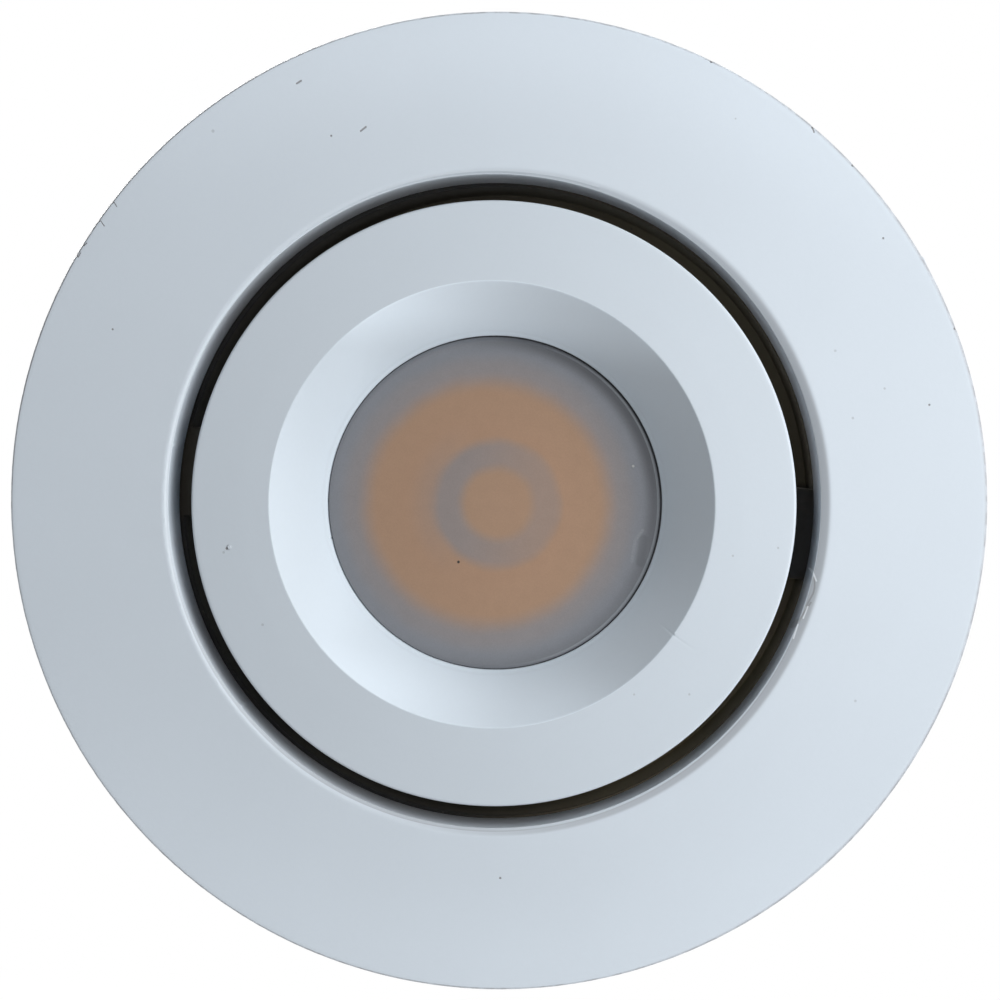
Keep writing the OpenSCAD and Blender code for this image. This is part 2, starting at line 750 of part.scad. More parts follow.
// Middle line of the torsion spring: a straight leg on the arm, the curls, a straight leg on the base.
// Each point is [x, y, z, direction from the pin that the wire's section turns with].
function coil_point(a, y) = [pin_x + coil_r * cos(a), y, pin_z + coil_r * sin(a), a];
function leg_point(a, y, d) =
    [pin_x + coil_r * cos(a) - d * sin(a), y, pin_z + coil_r * sin(a) + d * cos(a), a];
spring_line = concat(
    [for (i = [leg_a_steps:-1:1]) leg_point(leg_a_dir, -coil_w / 2, -i * leg_step)],
    [for (i = [0:curl_count]) let (t = i / curl_count)
        coil_point(leg_a_dir + coil_sweep * t, coil_w * (t - 0.5))],
    [for (i = [1:leg_b_steps]) leg_point(180, coil_w / 2, i * leg_step)]);

// Unbroken tube along the middle line
function wire_ring(p) = [for (k = [0:wire_sides - 1]) let (q = 360 * k / wire_sides)
    [p[0], p[1], p[2]] + wire_r * [cos(q) * cos(p[3]), sin(q), cos(q) * sin(p[3])]];
module clip_spring() {
    n = len(spring_line);
    points = [for (p = spring_line) each wire_ring(p)];
    sides = [for (i = [0:n - 2], k = [0:wire_sides - 1])
        let (a = wire_sides * i + k, b = wire_sides * i + (k + 1) % wire_sides)
        each [[a, b, b + wire_sides], [a, b + wire_sides, a + wire_sides]]];
    last = wire_sides * (n - 1);
    ends = [for (k = [1:wire_sides - 2]) each [[0, k + 1, k], [last, last + k, last + k + 1]]];
    color(spring_steel) polyhedron(points, concat(sides, ends), convexity = 8);
}

// Least gap of the spring to itself, between points at least half a curl apart
function at(p) = [p[0], p[1], p[2]];
spring_gap = min([for (i = [0:len(spring_line) - 1], j = [i + half_curl:1:len(spring_line) - 1])
    norm(at(spring_line[i]) - at(spring_line[j]))]) - 2 * wire_r;
echo(spring_gap = spring_gap, trim_r = trim_r, cutout_r = cutout_r, bore_r = bore_r, head_r = head_r,
     fin_r = fin_r, arm_len = arm_len, pin_x = pin_x, pin_z = pin_z, sink_back = sink_back);

trim_ring();
seal_gasket();
glide_ring();
swivel_ring();
snap_ring();
stop_pin();
head_bezel();
pivot_screws();
friction_washers();
lens_gasket();
tir_lens();
lens_holder();
led_phosphor();
led_dam();
led_board();
led_holder();
led_screws();
thermal_pad();
heat_sink();
bezel_screws();
cable_grommet();
facing() bracket();  // bracket_right
facing() rotate(180) bracket();  // bracket_left
bracket_rivets();
facing() hinge_pin();  // hinge_pin_right
facing() rotate(180) hinge_pin();  // hinge_pin_left
facing() clip_spring();  // clip_spring_right
facing() rotate(180) clip_spring();  // clip_spring_left
facing() clip_arm();  // clip_arm_right
facing() rotate(180) clip_arm();  // clip_arm_left
facing() clip_tip();  // clip_tip_right
facing() rotate(180) clip_tip();  // clip_tip_left
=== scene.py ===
"""Looks of a recessed puck light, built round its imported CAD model.

The front of the light looks along -Y, the tilt axis is X and Z is up in the photograph.
Lengths are metres, or millimetres where a name or a comment says so.
"""

import json
import math
from functools import reduce

import bmesh
import bpy
from mathutils import Matrix, Vector, noise
from mathutils.kdtree import KDTree


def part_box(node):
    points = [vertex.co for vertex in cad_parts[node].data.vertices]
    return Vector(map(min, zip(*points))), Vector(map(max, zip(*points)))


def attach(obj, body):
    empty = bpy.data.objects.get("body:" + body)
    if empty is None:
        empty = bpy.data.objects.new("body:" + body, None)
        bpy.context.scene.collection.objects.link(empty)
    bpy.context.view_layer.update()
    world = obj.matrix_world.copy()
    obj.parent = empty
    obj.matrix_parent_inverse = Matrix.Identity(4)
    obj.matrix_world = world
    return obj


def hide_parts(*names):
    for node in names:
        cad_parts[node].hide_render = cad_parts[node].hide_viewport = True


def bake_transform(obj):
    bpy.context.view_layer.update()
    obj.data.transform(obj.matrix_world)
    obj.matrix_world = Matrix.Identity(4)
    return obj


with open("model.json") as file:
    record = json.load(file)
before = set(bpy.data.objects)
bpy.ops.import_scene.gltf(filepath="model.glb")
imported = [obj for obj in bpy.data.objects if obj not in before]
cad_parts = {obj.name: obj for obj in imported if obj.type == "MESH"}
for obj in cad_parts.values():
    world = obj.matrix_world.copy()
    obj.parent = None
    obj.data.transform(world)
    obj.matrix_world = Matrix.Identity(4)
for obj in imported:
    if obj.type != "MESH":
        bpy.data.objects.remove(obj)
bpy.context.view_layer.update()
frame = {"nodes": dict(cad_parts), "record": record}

MM = 0.001
SLOT_OF = {part["node"]: part["material_slot"] for part in frame["record"]["subparts"]}
BODY_OF = {
    node: body for body, nodes in frame["record"]["behaviour"]["bodies"].items() for node in nodes
}

# Light that reaches a surface from all round, where full white is 1
AMBIENT = 0.36
# The main lamp: degrees off the light's own axis, degrees above level, watts
KEY_SIDE, KEY_HEIGHT, KEY_POWER = 58, 19, 2.88
KEY_DISTANCE, KEY_SIZE = 0.45, 0.6
# A weaker lamp behind the ceiling side
REAR_POWER, REAR_DISTANCE, REAR_SIZE = 7.0, 0.8, 0.5

FLOOR_DROP, FLOOR_RADIUS = 0.2, 0.58


# Nodes

class Socket:
    """What a node gives out. Arithmetic on it adds Math nodes."""

    def __init__(self, tree, socket):
        self.tree = tree
        self.socket = socket

    def of(self, name):
        """Another output of the same node."""
        return Socket(self.tree, self.socket.node.outputs[name])

    def math(self, operation, first, second=0.0):
        return self.tree.add("ShaderNodeMath", {"operation": operation}, {0: first, 1: second})

    def __add__(self, other):
        return self.math("ADD", self, other)

    def __radd__(self, other):
        return self.math("ADD", other, self)

    def __sub__(self, other):
        return self.math("SUBTRACT", self, other)

    def __rsub__(self, other):
        return self.math("SUBTRACT", other, self)

    def __mul__(self, other):
        return self.math("MULTIPLY", self, other)

    def __rmul__(self, other):
        return self.math("MULTIPLY", other, self)

    def __truediv__(self, other):
        return self.math("DIVIDE", self, other)

    def __pow__(self, other):
        return self.math("POWER", self, other)

    def least(self, other):
        return self.math("MINIMUM", self, other)

    def most(self, other):
        return self.math("MAXIMUM", self, other)


class Tree:
    """A node tree that nodes are added to."""

    def __init__(self, tree):
        self.tree = tree
        self.tree.nodes.clear()

    def add(self, kind, settings=None, inputs=None, output=0):
        """Adds a node: its settings first, then the values or links of its sockets."""
        node = self.tree.nodes.new(kind)
        for name, value in (settings or {}).items():
            if name == "stops":
                self.set_stops(node.color_ramp, value)
            else:
                setattr(node, name, value)
        for name, value in (inputs or {}).items():
            if isinstance(value, Socket):
                self.tree.links.new(value.socket, node.inputs[name])
            else:
                node.inputs[name].default_value = value
        return Socket(self, node.outputs[output]) if node.outputs else node

    @staticmethod
    def set_stops(ramp, stops):
        ramp.interpolation = "EASE"
        ramp.elements.remove(ramp.elements[1])
        ramp.elements[0].position, ramp.elements[0].color = stops[0]
        for place, colour in stops[1:]:
            ramp.elements.new(place).color = colour


class Finish(Tree):
    """A surface finish. Its lengths are millimetres on the piece."""

    def __init__(self, name, constants=None):
        self.material = bpy.data.materials.new(name)
        self.material.use_nodes = True
        super().__init__(self.material.node_tree)
        shader = self.add("ShaderNodeBsdfPrincipled")
        self.add("ShaderNodeOutputMaterial", None, {"Surface": shader})
        self.shader = shader.socket.node
        for key, value in (constants or {}).items():
            self.shader.inputs[key].default_value = value
        metres = self.add("ShaderNodeTexCoord", None, None, "Object")
        self.place = self.add("ShaderNodeVectorMath", {"operation": "SCALE"}, {0: metres, "Scale": 1000})
        self.x = self.add("ShaderNodeSeparateXYZ", None, {0: self.place})
        self.y = self.x.of("Y")
        self.z = self.x.of("Z")
        self.flat = self.add("ShaderNodeCombineXYZ", None, {"X": self.x, "Z": self.z})
        self.radius = self.length(self.flat)

    def length(self, vector):
        return self.add("ShaderNodeVectorMath", {"operation": "LENGTH"}, {0: vector}, "Value")

    def distance(self, x, z):
        """Distance from the line that runs through (x, z) from front to back."""
        return self.add("ShaderNodeVectorMath", {"operation": "DISTANCE"},
                        {0: self.flat, 1: (x, 0, z)}, "Value")

    def noise(self, size, detail=2.0, stretch=None):
        """Random clouds of about this size, from 0 to 1."""
        place = self.place
        if stretch:
            place = self.add("ShaderNodeVectorMath", {"operation": "MULTIPLY"}, {0: place, 1: stretch})
        return self.add("ShaderNodeTexNoise", None,
                        {"Vector": place, "Scale": 1 / size, "Detail": detail})

    def cells(self, size):
        """Distance to the middle of the nearest of many cells of about this size."""
        return self.add("ShaderNodeTexVoronoi", None, {"Vector": self.place, "Scale": 1 / size})

    def fade(self, value, start, end):
        """Rises from 0 at start to 1 at end."""
        return self.add("ShaderNodeMapRange", {"interpolation_type": "SMOOTHSTEP"},
                        {"Value": value, "From Min": start, "From Max": end})

    def dots(self, places):
        """Round marks, each (x, z, radius)."""
        marks = [self.distance(x, z) / size for x, z, size in places]
        return self.fade(reduce(Socket.least, marks), 1.0, 0.5)

    def line(self, start, end, width):
        """A scratch from one (x, z) to another."""
        origin = Vector((start[0], 0, start[1]))
        along = Vector((end[0], 0, end[1])) - origin
        offset = self.add("ShaderNodeVectorMath", {"operation": "SUBTRACT"}, {0: self.flat, 1: origin})
        share = self.add("ShaderNodeVectorMath", {"operation": "DOT_PRODUCT"},
                         {0: offset, 1: along / along.length_squared}, "Value")
        share = share.most(0.0).least(1.0)
        foot = self.add("ShaderNodeVectorMath", {"operation": "SCALE"}, {0: along, "Scale": share})
        aside = self.add("ShaderNodeVectorMath", {"operation": "SUBTRACT"}, {0: offset, 1: foot})
        return self.fade(self.length(aside), width, 0.4 * width)

    def lines(self, scratches):
        """Scratches, each with its two ends and half its width."""
        return reduce(Socket.most, [self.line(*scratch) for scratch in scratches])

    def mix(self, first, second, share):
        """One colour where share is 0, the other where it is 1."""
        return self.add("ShaderNodeMix", {"data_type": "RGBA"},
                        {0: share, 6: colour(first), 7: colour(second)}, 2)

    def set(self, name, value):
        self.tree.links.new(value.socket, self.shader.inputs[name])

    def bump(self, height):
        """Relief of this height in millimetres."""
        self.set("Normal", self.add("ShaderNodeBump", None, {"Height": height, "Distance": MM}))


def colour(value):
    """A colour as a socket takes it."""
    if isinstance(value, Socket):
        return value
    return (*value, 1.0)


# Finishes

PAINT = (0.640, 0.710, 0.782)
PAINT_ON_HEAD = (0.598, 0.665, 0.732)
# The cone's paint, the same white as the disc's, darkened by a painted shade
SHADED_CONE_PAINT = (0.597, 0.670, 0.738)
# A grey for real dark marks and scrapes, and for the painted shade in the bore, on its bevel and on the
# ledge round the lens
DIRT_AND_SHADE = (0.16, 0.15, 0.15)
RIM_DIRT = (0.20, 0.19, 0.20)
DARK_DIRT = (0.06, 0.055, 0.06)
BARE_EDGE = (0.90, 0.95, 1.0)
# Small dark marks on the front, each x, z and radius in millimetres
PAINT_DOTS = (
    (-17.99, 32.03, 0.13), (-36.51, 12.50, 0.13), (32.82, 27.55, 0.13), (38.50, 13.00, 0.13),
    (4.23, -34.06, 0.14), (-23.78, -6.48, 0.17),
)
# Marks that barely show
FAINT_DOTS = (
    (-29.04, 31.53, 0.20), (18.48, 37.01, 0.11), (29.53, 16.99, 0.16), (31.73, 11.11, 0.16),
    (34.32, 14.05, 0.14), (-24.04, -6.87, 0.16), (34.71, -14.39, 0.16), (-19.78, -13.10, 0.16),
    (22.26, -2.34, 0.14), (26.25, -1.24, 0.14), (19.67, -15.29, 0.14), (14.69, -15.79, 0.13),
)
# A grain under the paint
GRAIN = (-23.55, -6.34, 0.28)
# Dark lines on the front, each with its two ends (x, z) and half its width
SCRATCHES = (
    ((-21.72, 36.57), (-21.35, 36.84), 0.12), ((-15.32, 32.71), (-14.90, 33.12), 0.12),
    ((25.47, 36.92), (25.66, 36.49), 0.09), ((-37.67, 24.22), (-37.35, 23.82), 0.07),
    ((-38.72, 22.36), (-38.35, 21.93), 0.07), ((-40.04, 19.97), (-39.84, 20.21), 0.08),
    ((-40.52, 18.85), (-40.35, 19.24), 0.08),
)
# Lines of a scrape across the bevel round the bore, dark and light
SCRAPE_DARK = (
    ((29.83, -3.59), (29.92, -4.46), 0.10), ((29.92, -4.46), (29.86, -4.99), 0.11),
    ((29.86, -4.99), (29.39, -6.18), 0.11), ((29.73, -5.85), (28.42, -8.49), 0.11),
)
SCRAPE_LIGHT = (
    ((29.58, -2.97), (30.01, -3.84), 0.11), ((29.51, -6.25), (29.21, -7.34), 0.09),
    ((28.80, -7.99), (28.53, -9.25), 0.09),
)
# Angles in degrees, from +X towards +Z, of nicks in the rim, and of a burr that stands out
RIM_NICKS = (138.9, 147.4, 150.1, 153.5, 155.0, 69.4, 55.4, 49.0, 26.6)
RIM_BURR = 35.5
# Where the paint of the rim is worn most, and the radius of the rim's edge
WORN_RIM = (-38.5, 22.5)
RIM_EDGE, TRIM_RADIUS = 44.85, 45.0
CHIP_RADIUS = 0.15
# Between these radii the paint of the disc gives way to the cone's darker tone, which is painted shade
CONE_PAINT_EDGE = (20.42, 20.32)


def painted_light_ramps(finish, paint):
    """Painted light and shade: ramps of tone over flange and cone that the lamps alone don't give."""
    flange = 0.10 * finish.fade(finish.z, 20.0, 42.0) + 0.06 * finish.fade(finish.z, -14.0, -42.0)
    paint = scaled(finish, paint, 1 + flange * finish.fade(finish.radius, 31.0, 44.0))
    cone = 0.25 * finish.fade(finish.z, 12.5, 17.5) + 0.14 * finish.fade(finish.z, -13.0, -18.5)
    cone += 0.11 * finish.fade(finish.x, 2.0, 10.0) * finish.fade(finish.z, 0.0, -10.0)
    cone -= 0.09 * finish.fade(finish.x, -13.0, -18.0)
    return scaled(finish, paint, 1 + cone * finish.fade(finish.radius, *CONE_PAINT_EDGE))


def painted_shade_in_bore(finish, paint, front):
    """Painted shade on the wall of the bore, darker deeper in and towards the left, and on the bevel
    round it, darker towards the right.
    """
    wall = finish.fade(finish.radius, 30.02, 29.97) * finish.fade(finish.radius, 29.2, 29.6)
    painted_shade = 0.12 + 0.5 * finish.fade(finish.y, -3.6, 2.0) + 0.12 * finish.fade(finish.x, 12.0, -8.0)
    painted_shade += 0.12 * finish.fade(finish.z, -22.0, -28.0) * finish.fade(finish.x, 12.0, 2.0)
    wall = wall * painted_shade * (1 - 0.7 * finish.fade(finish.x, -26.0, -29.0))
    paint = finish.mix(paint, DIRT_AND_SHADE, wall)
    border = finish.radius - 0.0070 * finish.x - 0.0036 * finish.z
    bevel = finish.fade(finish.radius, 29.85, 29.95) * finish.fade(border, 30.58, 30.26) * front
    painted_shade = 0.10 + 0.26 * finish.fade(0.94 * finish.x - 0.34 * finish.z, 0.0, 26.0)
    return finish.mix(paint, DIRT_AND_SHADE, bevel * painted_shade)


def worn_rim(finish, paint, front):
    """Dirt in patches along the rim's edge, with a dark chip at each nick."""
    patches = 0.35 + 0.5 * finish.fade(finish.noise(1.1, 3.0), 0.38, 0.62)
    worn = finish.fade(finish.distance(*WORN_RIM), 34.0, 10.0)
    inside = finish.fade(finish.radius, RIM_EDGE - 0.11, RIM_EDGE)
    rim = inside * finish.fade(finish.radius, TRIM_RADIUS, RIM_EDGE + 0.07)
    left = 1 - 0.3 * finish.fade(finish.x, -28.0, -42.0)
    paint = finish.mix(paint, RIM_DIRT, 0.70 * rim * left * (patches + 0.4 * worn).least(1.0))
    near_edge = finish.fade(finish.radius, RIM_EDGE - 0.25, RIM_EDGE - 0.05)
    paint = finish.mix(paint, RIM_DIRT, 0.25 * near_edge * finish.fade(finish.x, 10.0, 35.0))
    paint = finish.mix(paint, DARK_DIRT, 0.5 * rim * worn)
    turns = [math.radians(angle) for angle in RIM_NICKS]
    chips = [(RIM_EDGE * math.cos(turn), RIM_EDGE * math.sin(turn), CHIP_RADIUS) for turn in turns]
    return finish.mix(paint, DARK_DIRT, 0.8 * finish.dots(chips) * front)


def white_paint():
    """Satin powder coat with a fine orange peel, small dark marks, a scratch and a pit, and painted light
    and shade over the flange, the cone, the bore and the ledge round the lens.
    """
    finish = Finish("white_paint", {"Roughness": 0.42, "Specular IOR Level": 0.4})
    front = finish.fade(finish.y, 1.0, 0.0)
    paint = finish.mix(PAINT, PAINT_ON_HEAD, finish.fade(finish.radius, 29.0, 28.4))
    # The cone's darker tone is painted shade
    paint = finish.mix(paint, SHADED_CONE_PAINT, finish.fade(finish.radius, *CONE_PAINT_EDGE))
    paint = painted_light_ramps(finish, paint)
    clouds = finish.noise(9.0, 3.0) - 0.5
    peel = finish.noise(0.42, 3.0)
    grain = finish.noise(0.11, 1.0)
    shade = 0.5 + 0.35 * clouds + 0.22 * (peel - 0.5) + 0.16 * (grain - 0.5)
    paint = finish.mix(scaled(finish, paint, 0.955), scaled(finish, paint, 1.045), shade)
    dark = finish.dots(PAINT_DOTS).most(0.35 * finish.dots(FAINT_DOTS)).most(finish.lines(SCRATCHES))
    paint = finish.mix(paint, DIRT_AND_SHADE, 0.75 * dark * front)
    # Painted shade in the bore and on the bevel round it
    paint = painted_shade_in_bore(finish, paint, front)
    # Painted shade on the ledge round the lens
    ledge = finish.fade(finish.radius, 16.2, 15.9) * front
    paint = finish.mix(paint, DIRT_AND_SHADE, 0.35 * ledge)
    paint = finish.mix(paint, DIRT_AND_SHADE, 0.45 * finish.lines(SCRAPE_DARK) * front)
    paint = finish.mix(paint, BARE_EDGE, 0.75 * finish.lines(SCRAPE_LIGHT) * front)
    finish.set("Base Color", worn_rim(finish, paint, front))
    finish.set("Roughness", 0.36 + 0.12 * peel + 0.2 * dark)
    finish.bump(0.0045 * peel + 0.0012 * grain - 0.03 * dark + 0.10 * finish.dots([GRAIN]) * front)
    return finish.material


def scaled(finish, tint, factor):
    """A colour made lighter or darker."""
    return finish.add("ShaderNodeVectorMath", {"operation": "SCALE"}, {0: tint, "Scale": factor})


def foam():
    """Closed-cell foam: many small dimples."""
    finish = Finish("foam", {"Specular IOR Level": 0.3})
    cells = finish.cells(0.35)
    clouds = finish.noise(4.0)
    shade = 0.6 * cells + 0.4 * clouds
    finish.set("Base Color", finish.mix((0.035, 0.035, 0.04), (0.085, 0.085, 0.09), shade))
    finish.set("Roughness", 0.8 + 0.15 * cells)
    finish.bump(0.06 * cells)
    return finish.material


def moulded(name, dark, light, rough, relief):
    """Moulded plastic or rubber with a fine skin."""
    finish = Finish(name, {"Specular IOR Level": 0.45})
    clouds = finish.noise(3.0)
    skin = finish.noise(0.15)
    finish.set("Base Color", finish.mix(dark, light, 0.5 * clouds + 0.5 * skin))
    finish.set("Roughness", rough - 0.06 + 0.12 * clouds)
    finish.bump(relief * skin + 0.5 * relief * clouds)
    return finish.material


# Depths in millimetres between which the ring's front turns to its back, and its lip to its wall
RING_BACK, RING_WALL = (11.25, 11.05), (10.3, 9.3)


def black_steel():
    """Black powder coat over pressed steel, browner where the ring shows in the gap, a brown that is
    partly dust and partly painted light, lighter deeper in and towards the lower right.
    """
    finish = Finish("black_steel", {"Specular IOR Level": 0.35})
    peel = finish.noise(0.3, 3.0)
    thin = finish.fade(finish.noise(2.5), 0.5, 0.75)
    black = finish.mix((0.010, 0.010, 0.010), (0.022, 0.018, 0.014), thin)
    # Brown, partly dust and partly painted light, where the ring shows in the gap; the tabs stay nearly
    # black
    brown_dust_and_light = finish.mix((0.125, 0.102, 0.064), (0.142, 0.117, 0.074), thin)
    off_tabs = finish.fade(finish.z * finish.z, 14.0, 26.0) * finish.fade(finish.y, *RING_BACK)
    face = finish.mix(black, brown_dust_and_light, off_tabs * finish.fade(finish.x, -4.0, 14.0))
    face = finish.mix(face, (0.055, 0.046, 0.032), (1 - off_tabs) * finish.fade(finish.x, 0.0, -10.0))
    # Painted light: the brown grows lighter deeper in and towards the right, and the face up to 80 %
    # lighter towards the lower right
    deep_dust_and_light = finish.mix((0.065, 0.055, 0.037), (0.210, 0.178, 0.116), finish.fade(finish.x, -6.0, 16.0))
    face = finish.mix(face, deep_dust_and_light, off_tabs * finish.fade(finish.y, 2.4, 4.0))
    face = scaled(finish, face, 1 + 0.8 * finish.fade(finish.x - finish.z, 27.0, 42.0))
    face = scaled(finish, face, 1 - 0.30 * finish.fade(finish.y, *RING_WALL))
    specks = finish.fade(finish.noise(0.8), 0.66, 0.74)
    finish.set("Base Color", finish.mix(face, (0.10, 0.09, 0.07), 0.6 * specks * off_tabs))
    finish.set("Roughness", 0.5 + 0.15 * peel)
    finish.bump(0.008 * peel)
    return finish.material


def plated(name, dark, light, rough, brushed=(1, 1, 1)):
    """Bright metal with faint patches and fine brush lines."""
    finish = Finish(name, {"Metallic": 1.0})
    patches = finish.noise(2.2, 3.0)
    lines = finish.noise(0.12, 2.0, stretch=brushed)
    stain = finish.fade(finish.noise(1.1), 0.62, 0.8)
    finish.set("Base Color", finish.mix(finish.mix(dark, light, patches), dark, 0.5 * stain))
    finish.set("Roughness", rough + 0.10 * (lines - 0.5) + 0.12 * stain)
    finish.bump(0.0022 * lines + 0.002 * patches)
    return finish.material


def black_alloy():
    """Black anodised casting: a sandy skin with a few lighter rubs."""
    finish = Finish("black_alloy", {"Metallic": 0.35})
    sand = finish.noise(0.18, 3.0)
    clouds = finish.noise(5.0)
    rub = finish.fade(finish.noise(1.4), 0.64, 0.8)
    base = finish.mix((0.016, 0.016, 0.018), (0.030, 0.030, 0.033), clouds)
    finish.set("Base Color", finish.mix(base, (0.075, 0.075, 0.08), 0.5 * rub))
    finish.set("Roughness", 0.42 + 0.14 * sand - 0.06 * rub)
    finish.bump(0.010 * sand)
    return finish.material


# Rings of colour in the lens, each radius in millimetres and colour
LENS_RINGS = (
    (0.0, (0.356, 0.233, 0.158)), (2.7, (0.353, 0.231, 0.155)), (4.0, (0.254, 0.221, 0.212)),
    (5.3, (0.254, 0.221, 0.212)), (6.5, (0.364, 0.231, 0.1535)), (10.2, (0.360, 0.231, 0.153)),
    (12.6, (0.244, 0.229, 0.233)), (14.4, (0.214, 0.2255, 0.250)), (15.6, (0.190, 0.200, 0.222)),
)
LENS_AMBER = (0.364, 0.231, 0.1535)
LENS_GREY = (0.254, 0.221, 0.212)
# A pale tone for the smudge and for the painted highlight on the lens's bevel, and a dark tone for the
# mark beside the smudge
LENS_HIGHLIGHT_AND_SMUDGE, LENS_DARK = (0.34, 0.36, 0.38), (0.10, 0.11, 0.12)
LENS_REACH = 16.0
# The lens bends the view, so the inner and outer rings have their own middles
INNER_MIDDLE, OUTER_MIDDLE = (0.26, -0.10), (-0.63, -0.16)
# A smudge on the lens, a bent light line beside a darker one
LENS_SMUDGE = (((13.99, -1.08), (13.39, -2.16), 0.20), ((13.39, -2.16), (13.29, -4.08), 0.20))
LENS_SHADE = (((14.15, -1.95), (14.10, -4.10), 0.60),)
# A pale grain of dust and a dark speck
LENS_DUST, LENS_SPECK = (12.50, 4.73, 0.16), (-2.79, -5.83, 0.17)


def frosted_lens():
    """Frosted plastic with the amber of the emitter showing through in soft rings, painted lighter
    towards the right, with a painted shadow round its edge and a painted highlight on its bevel.
    """
    finish = Finish("frosted_lens", {"Specular IOR Level": 0.35, "IOR": 1.49})
    wobble = finish.noise(2.6) - 0.5
    inner = finish.distance(*INNER_MIDDLE)
    outer = finish.distance(*OUTER_MIDDLE)
    reach = inner + finish.fade(inner, 5.5, 9.0) * (outer - inner) + 0.5 * wobble
    stops = [(radius / LENS_REACH, colour(tint)) for radius, tint in LENS_RINGS]
    rings = finish.add("ShaderNodeValToRGB", {"stops": stops}, {0: reach / LENS_REACH})
    amber = finish.fade(finish.x, -4.0, 5.0) * finish.fade(inner, 6.5, 5.5)
    rings = finish.mix(rings, LENS_AMBER, 0.45 * amber)
    pale = finish.fade(inner, 8.8, 6.0) * finish.fade(inner, 5.0, 6.0) * finish.fade(finish.x, -2.0, -7.0)
    rings = finish.mix(rings, LENS_GREY, 0.35 * pale)
    # Painted light: the lens grows lighter towards the right, where the cone shades it
    rings = scaled(finish, rings, 0.90 + 0.33 * finish.fade(finish.x, -14.0, 24.0))
    grain = finish.noise(0.13, 2.0)
    clouds = finish.noise(1.3, 3.0)
    shade = 0.5 + 0.9 * (grain - 0.5) + 0.5 * (clouds - 0.5)
    rings = finish.mix(scaled(finish, rings, 0.90), scaled(finish, rings, 1.10), shade)
    lit_side = finish.fade(0.75 * finish.x + 0.66 * finish.z, 4.0, 15.0)
    shadow = (0.30 + 0.10 * finish.fade(finish.z, 0.0, 8.0)) * lit_side
    shadow = shadow + 0.12 * finish.fade(finish.x, -8.0, 2.0)
    shadow = shadow * finish.fade(finish.distance(-0.12, 0.0), 13.75, 15.1)
    rings = finish.mix(rings, (0.0, 0.0, 0.0), shadow)
    # A painted highlight on the right side of the lens's bevel
    bevel = finish.fade(finish.radius, 15.12, 15.2) * finish.fade(finish.radius, 15.42, 15.3)
    rings = finish.mix(rings, LENS_HIGHLIGHT_AND_SMUDGE, 0.6 * bevel * finish.fade(finish.x, 0.0, 12.0))
    rings = finish.mix(rings, LENS_DARK, 0.35 * finish.lines(LENS_SHADE))
    rings = finish.mix(rings, LENS_HIGHLIGHT_AND_SMUDGE, 0.9 * finish.lines(LENS_SMUDGE) * (grain - 0.15))
    dust = finish.dots([LENS_DUST])
    rings = finish.mix(rings, (0.62, 0.62, 0.60), 0.6 * dust)
    speck = finish.dots([LENS_SPECK])
    finish.set("Base Color", finish.mix(rings, (0.015, 0.014, 0.014), speck))
    finish.set("Roughness", 0.5 + 0.14 * grain)
    finish.bump(0.006 * grain + 0.004 * clouds + 0.03 * dust)
    return finish.material


def phosphor():
    """Phosphor grains set in silicone."""
    finish = Finish("phosphor", {"Roughness": 0.4})
    grain = finish.noise(0.09)
    finish.set("Base Color", finish.mix((0.56, 0.26, 0.055), (0.68, 0.35, 0.09), grain))
    finish.set("Roughness", 0.3 + 0.2 * grain)
    finish.bump(0.01 * grain)
    return finish.material


FINISHES = {
    "white_paint": white_paint(),
    "foam": foam(),
    "dark_nylon": moulded("dark_nylon", (0.014, 0.014, 0.014), (0.028, 0.028, 0.027), 0.5, 0.003),
    "black_steel": black_steel(),
    "spring_steel": plated("spring_steel", (0.36, 0.37, 0.39), (0.48, 0.49, 0.51), 0.30, (1, 8, 8)),
    "zinc_steel": plated("zinc_steel", (0.50, 0.51, 0.53), (0.62, 0.63, 0.62), 0.36, (6, 1, 1)),
    "black_screw": plated("black_screw", (0.022, 0.022, 0.024), (0.045, 0.045, 0.047), 0.42),
    "fibre_washer": moulded("fibre_washer", (0.022, 0.018, 0.014), (0.050, 0.040, 0.030), 0.8, 0.010),
    "rubber": moulded("rubber", (0.022, 0.022, 0.022), (0.040, 0.040, 0.040), 0.62, 0.005),
    "clear_rubber": moulded("clear_rubber", (0.50, 0.51, 0.50), (0.60, 0.61, 0.60), 0.38, 0.004),
    "frosted_lens": frosted_lens(),
    "pale_plastic": moulded("pale_plastic", (0.70, 0.70, 0.67), (0.79, 0.79, 0.76), 0.45, 0.002),
    "phosphor": phosphor(),
    "board_alloy": moulded("board_alloy", (0.76, 0.76, 0.74), (0.84, 0.84, 0.82), 0.35, 0.001),
    "thermal_pad": moulded("thermal_pad", (0.26, 0.34, 0.43), (0.34, 0.42, 0.52), 0.7, 0.012),
    "black_alloy": black_alloy(),
}


# Shapes

# Turns of an outline in degrees: below the first it is a curve, above the second it is rounded
GENTLE_TURN, SHARP_TURN = 8, 25
# Steps shorter than the first belong to a curve. A flat longer than the second stays straight up to
# the third from where it meets a curve. All in millimetres
CURVE_STEP, LONG_FLAT, FLAT_END = 0.2, 1.0, 0.3
# Turned shapes have finer steps within this many degrees of a nick
FINE_REACH, FINE_STEP = 0.6, 0.1


def added(name, data):
    """An object in the scene."""
    piece = bpy.data.objects.new(name, data)
    bpy.context.scene.collection.objects.link(piece)
    return piece


def piece_of(name, mesh):
    """An object that holds a finished bmesh."""
    data = bpy.data.meshes.new(name)
    mesh.to_mesh(data)
    mesh.free()
    return added(name, data)


